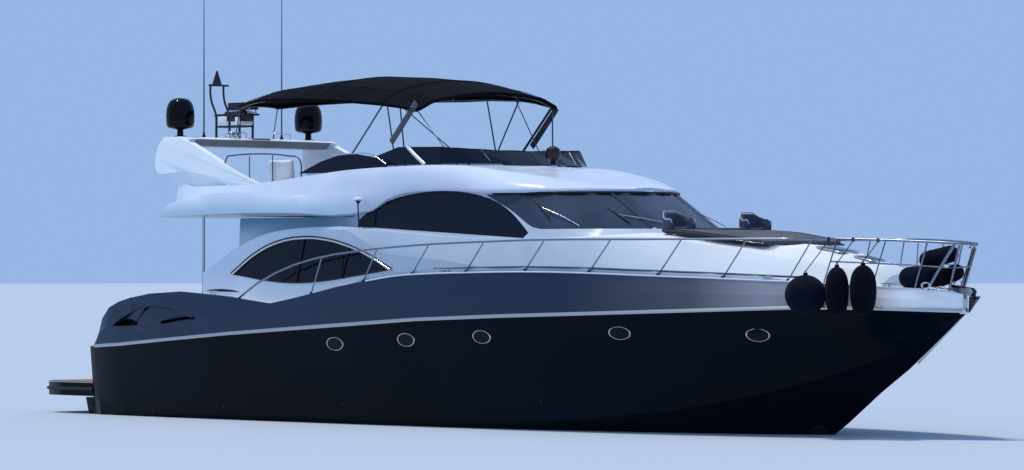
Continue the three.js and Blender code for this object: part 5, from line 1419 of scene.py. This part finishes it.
def make_stair_gear():
    """Teak treads and handrails on the stair up to the flybridge."""
    treads = []
    for i in range(STAIR_STEPS):
        climb = (i + 1) / (STAIR_STEPS + 1)
        x, z = STAIR_FOOT - STAIR_RUN * climb, SOLE + (STAIR_HEAD - SOLE) * climb
        treads.append(block((x - 0.105, 0.79, z + 0.0005), (x + 0.1, 1.41, z + 0.012), 0.004))
    piece_of("stair_treads", treads, "teak")
    rail = [(x, 0.72, z) for x, z in ((-5.62, 2.2), (-5.66, 2.38), (-6.1, 2.98), (-6.6, 3.7), (-6.72, 3.78))]
    brackets = [[(-5.68, 0.735, 1.8), (-5.62, 0.72, 2.2)], [(-6.4, 0.735, 3.2), (-6.36, 0.72, 3.36)]]
    pipes("stair_handrail", [rail] + brackets, 0.016, "stainless")


# The x of the sliding door's middle plane, of the frames round the openings, and of the fixed light's pane
DOOR_MIDDLE, LIGHT_FACE, LIGHT_PANE = -5.377, -5.452, (-5.43, -5.42)


def frame_at(x, y_low, y_high, z_low, z_high):
    """Corners of an upright frame across the boat, back to the first."""
    return [(x, y, z) for y, z in ((y_low, z_low), (y_low, z_high), (y_high, z_high), (y_high, z_low),
                                   (y_low, z_low))]


def make_door_gear():
    """Frames and handles of the sliding door and the fixed light beside it."""
    x = DOOR_MIDDLE
    door = frame_at(x, -1.04, 0.34, 1.49, 3.49)
    pipes("door_frame", [door], 0.0165, "stainless", body="saloon_door", smooth=False, sides=3)
    handle = [(x + out, 0.26, z) for out, z in ((0.012, 2.35), (0.055, 2.37), (0.055, 2.63), (0.012, 2.65))]
    pipes("door_handle", [handle], 0.01, "chrome", body="saloon_door", sides=3)
    pull = block((x - 0.0185, 0.22, 2.38), (x - 0.013, 0.28, 2.62), 0.002)
    piece_of("door_pull", [pull], "chrome", body="saloon_door")
    light = frame_at(LIGHT_FACE, 0.42, 1.65, 2.0, 3.48)
    doorway = frame_at(LIGHT_FACE, -1.0, 0.3, 1.51, 3.48)[:-1]
    pipes("bulkhead_light_frames", [light, doorway], 0.014, "dark_rubber", smooth=False, sides=3)
    aft, fore = LIGHT_PANE
    piece_of("bulkhead_light_pane", [block((aft, 0.41, 1.99), (fore, 1.66, 3.49), 0.002)], "tinted_glass")


# Anchor chain: its ends, the number of links, and how far it hangs
CHAIN_ENDS, CHAIN_LINKS, CHAIN_SAG = ((9.3, 0.045, 2.47), (10.28, 0, 2.4)), 24, 0.012
# Windlass: its middle, and the outline of its crown
WINDLASS = (9.24, 0.045)
CROWN = ((0, 0.165), (0.055, 0.165), (0.06, 0.172), (0.03, 0.19), (0.012, 0.2), (0, 0.2))
# Round fitting on the stem: radius and height; and the guard below it, x and z
STEM_NOSE = ((0, -0.05), (0.079, -0.05), (0.083, -0.03), (0.083, 0.03), (0.079, 0.045), (0, 0.045))
STEM_GUARD = ((10.02, 2.02), (10.15, 1.98), (9.2, 1.2), (9.12, 1.27))


def make_bow_gear():
    """Anchor chain, windlass trim, bow lights, braces, chocks, and the fittings on the stem."""
    chain = []
    start, end = map(Vector, CHAIN_ENDS)
    for i in range(CHAIN_LINKS):
        share = i / (CHAIN_LINKS - 1)
        place = start.lerp(end, share) + Vector((0, 0, -CHAIN_SAG * math.sin(math.pi * share)))
        turn = (0, 0.35, 1) if i % 2 else (0, 1, -0.35)
        chain.append(ring(0.017, 0.0055, place, turn, 14, (1.35, 1, 1), 6))
    piece_of("anchor_chain", chain, "chain")
    x, y = WINDLASS
    z = top_z("deck", x, 0.2)
    piece_of("windlass_plate", [block((9.08, -0.13, z - 0.004), (9.4, 0.22, z + 0.012), 0.006)], "stainless")
    piece_of("windlass_crown", [turned(CROWN, (x, y, z - 0.012), steps=28)], "chrome")
    bowls, lenses = zip(*[lamp_parts((10.36, y, 3.1), (1, y, 0), 0.03, 0.05) for y in (-0.05, 0.05)])
    piece_of("bow_light_bowls", bowls, "stainless")
    piece_of("bow_light_lenses", lenses, "lamp")
    brace = [(9.74, -0.41, 2.42), (9.96, -0.34, 2.79), (10.17, -0.245, 3.145)]
    pipes("bow_braces", across([brace]), 0.026, "rail_steel")
    chock = ring(0.05, 0.016, (9.72, -0.44, 2.475), (0.2, -1, 0.2), 24, (1.5, 1, 1))
    piece_of("bow_chocks", both_sides([chock]), "chrome")
    piece_of("stem_fitting", [turned(STEM_NOSE, (10.15, 0, 2.07), steps=36)], "chrome")
    guard = plate([(x, -0.006, z) for x, z in STEM_GUARD], (0, 0.012, 0), 0.003)
    piece_of("stem_guard", [guard], "stainless")


# Under water: outlines of an anode, a trim tab's ram and a skin fitting, radius and height
ANODE = ((0, 0), (0.05, 0), (0.05, 0.012), (0.035, 0.03), (0, 0.034))
RAM = ((0, 0), (0.018, 0), (0.018, 0.16), (0.01, 0.165), (0.01, 0.26), (0, 0.26))
FITTING = ((0.012, 0), (0.03, 0), (0.034, 0.004), (0.028, 0.012), (0.014, 0.013), (0.012, 0.004))
# The skin fittings' places, x and z, just over the water; and the thruster's
FITTINGS = ((-7.59, 0.124), (-5.7, 0.223), (-5.5, 0.235), (-2.2, 0.34), (2.6, 0.5))
THRUSTER = (7.2, 0.05)
TUNNEL_RING = ((0.12, 0.002), (0.145, 0.002), (0.15, 0.008), (0.145, 0.014), (0.12, 0.012))
TUNNEL_MOUTH = ((0, 0.003), (0.12, 0.003), (0.12, -0.004), (0, -0.004))


def make_underwater_gear():
    """Anodes, trim tabs with their rams, skin fittings, and the thruster tunnel's rings and mouths."""
    anodes = [turned(ANODE, (-9.558, y, -0.35), (-1, 0, 0), steps=20) for y in (-0.6, 0.6)]
    piece_of("anodes", anodes, "chain")
    tabs = [block((-10.12, y - 0.42, -0.5), (-9.86, y + 0.42, -0.485), 0.004) for y in (-1.35, 1.35)]
    tabs += [turned(RAM, (-9.86, y, -0.2), (-0.6, 0, -1), steps=14) for y in (-1.5, -1.2, 1.2, 1.5)]
    piece_of("trim_tabs", tabs, "stainless")
    for name, outline, steps, places in (("skin_fittings", FITTING, 20, FITTINGS),
                                         ("thruster_rings", TUNNEL_RING, 32, (THRUSTER,)),
                                         ("thruster_mouths", TUNNEL_MOUTH, 32, (THRUSTER,))):
        shapes = [shape for x, z in places for shape in on_skin("hull", [turned(outline, steps=steps)], x, z)]
        piece_of(name, both_sides(shapes), "dark_rubber")


# Bathing platform, from its root to its middle aft: x and half-breadth of the decking and of the rim
PLATFORM_DECKING = ((-9.6, 2.15), (-10.6, 2.12), (-11.05, 2.05), (-11.22, 1.93), (-11.31, 1.73),
                    (-11.34, 1.3))
PLATFORM_RIM = ((-9.58, 2.2), (-10.6, 2.172), (-11.08, 2.092), (-11.262, 1.962), (-11.352, 1.752),
                (-11.382, 1.3), (-11.384, 0))
# Height of the decking's foot, and its thickness
DECKING_FOOT, DECKING_THICK = 0.6105, 0.009
LASHINGS = [(x, y) for x in (-9.9, -10.9) for y in (-1.5, -0.5, 0.5, 1.5)]
# Treads of the stairs on each quarter: x of the forward edge, and height
QUARTER_STEPS = ((-9.27, 0.82), (-8.99, 1.03), (-8.71, 1.24))


def make_platform_trim():
    """Decking, edges and lashing rings of the bathing platform, treads beside it, and the garage's seal."""
    outline = [(x, -y, DECKING_FOOT) for x, y in PLATFORM_DECKING]
    outline += [(x, y, DECKING_FOOT) for x, y in reversed(PLATFORM_DECKING)]
    piece_of("platform_teak", [plate(outline, (0, 0, DECKING_THICK), 0.003)], "teak")
    for name, height, radius, finish, sides in (("platform_fender", 0.475, 0.028, "dark_rubber", 4),
                                                ("platform_edge", 0.6, 0.009, "stainless", 2)):
        pipes(name, across([[(x, -y, height) for x, y in PLATFORM_RIM]]), radius, finish, sides=sides)
    top = DECKING_FOOT + DECKING_THICK
    rings = [ring(0.03, 0.006, (x, y, top + 0.0025), UP, 20, sides=6) for x, y in LASHINGS]
    cup = ((0, 0), (0.042, 0), (0.04, 0.003), (0, 0.0035))
    cups = [turned(cup, (x, y, top), steps=24) for x, y in LASHINGS]
    piece_of("lashing_rings", rings + cups, "stainless")
    treads = [block((x - 0.26, 1.37, z + 0.0005), (x - 0.02, 1.93, z + 0.01), 0.003)
              for x, z in QUARTER_STEPS]
    piece_of("quarter_stair_teak", both_sides(treads), "teak")
    seal = frame_at(-9.5955, -1.09, 1.09, 0.67, 1.275)[::-1]
    pipes("garage_door_seal", [seal], 0.008, "dark_rubber", body="garage_door", smooth=False, sides=2)


# Guard rail posts: x of the foot, and how far forward the head is; and the outline of a base
RAIL_POSTS = ((-2.86, 0.19), (-1.47, 0.26), (-0.23, 0.35), (1.11, 0.36), (2.5, 0.37), (3.9, 0.38),
              (5.27, 0.38), (6.45, 0.37), (7.56, 0.35))
RAIL_BASE = ((0, 0), (0.036, 0), (0.036, 0.006), (0.022, 0.01), (0.019, 0.045), (0, 0.045))


def make_rail_gear():
    """Bases under the guard rail's posts, leaning as the posts do."""
    bases = []
    for x, lean in RAIL_POSTS:
        half, z = cap_at(x)
        bases.append(turned(RAIL_BASE, (x, -(half - 0.05), z - 0.002), (lean * 0.6, 0.1, 0.55), steps=16))
    piece_of("rail_post_bases", both_sides(bases), "dark_rubber")


smooth_skins()
make_canopy()
make_fenders()
make_stowed_fenders()
make_domes()
make_portholes()
make_window_trims()
make_slit_vents()
make_scoops()
make_bulwark_cap()
make_wipers()
make_mast_gear()
make_screen_joints()
make_brow_gear()
make_fly_trim()
make_hatches()
make_cleats()
make_sunpad()
make_backrests()
make_fly_cushions()
make_cockpit_settee()
make_saloon()
make_helms()
make_stair_gear()
make_door_gear()
make_bow_gear()
make_underwater_gear()
make_platform_trim()
make_rail_gear()
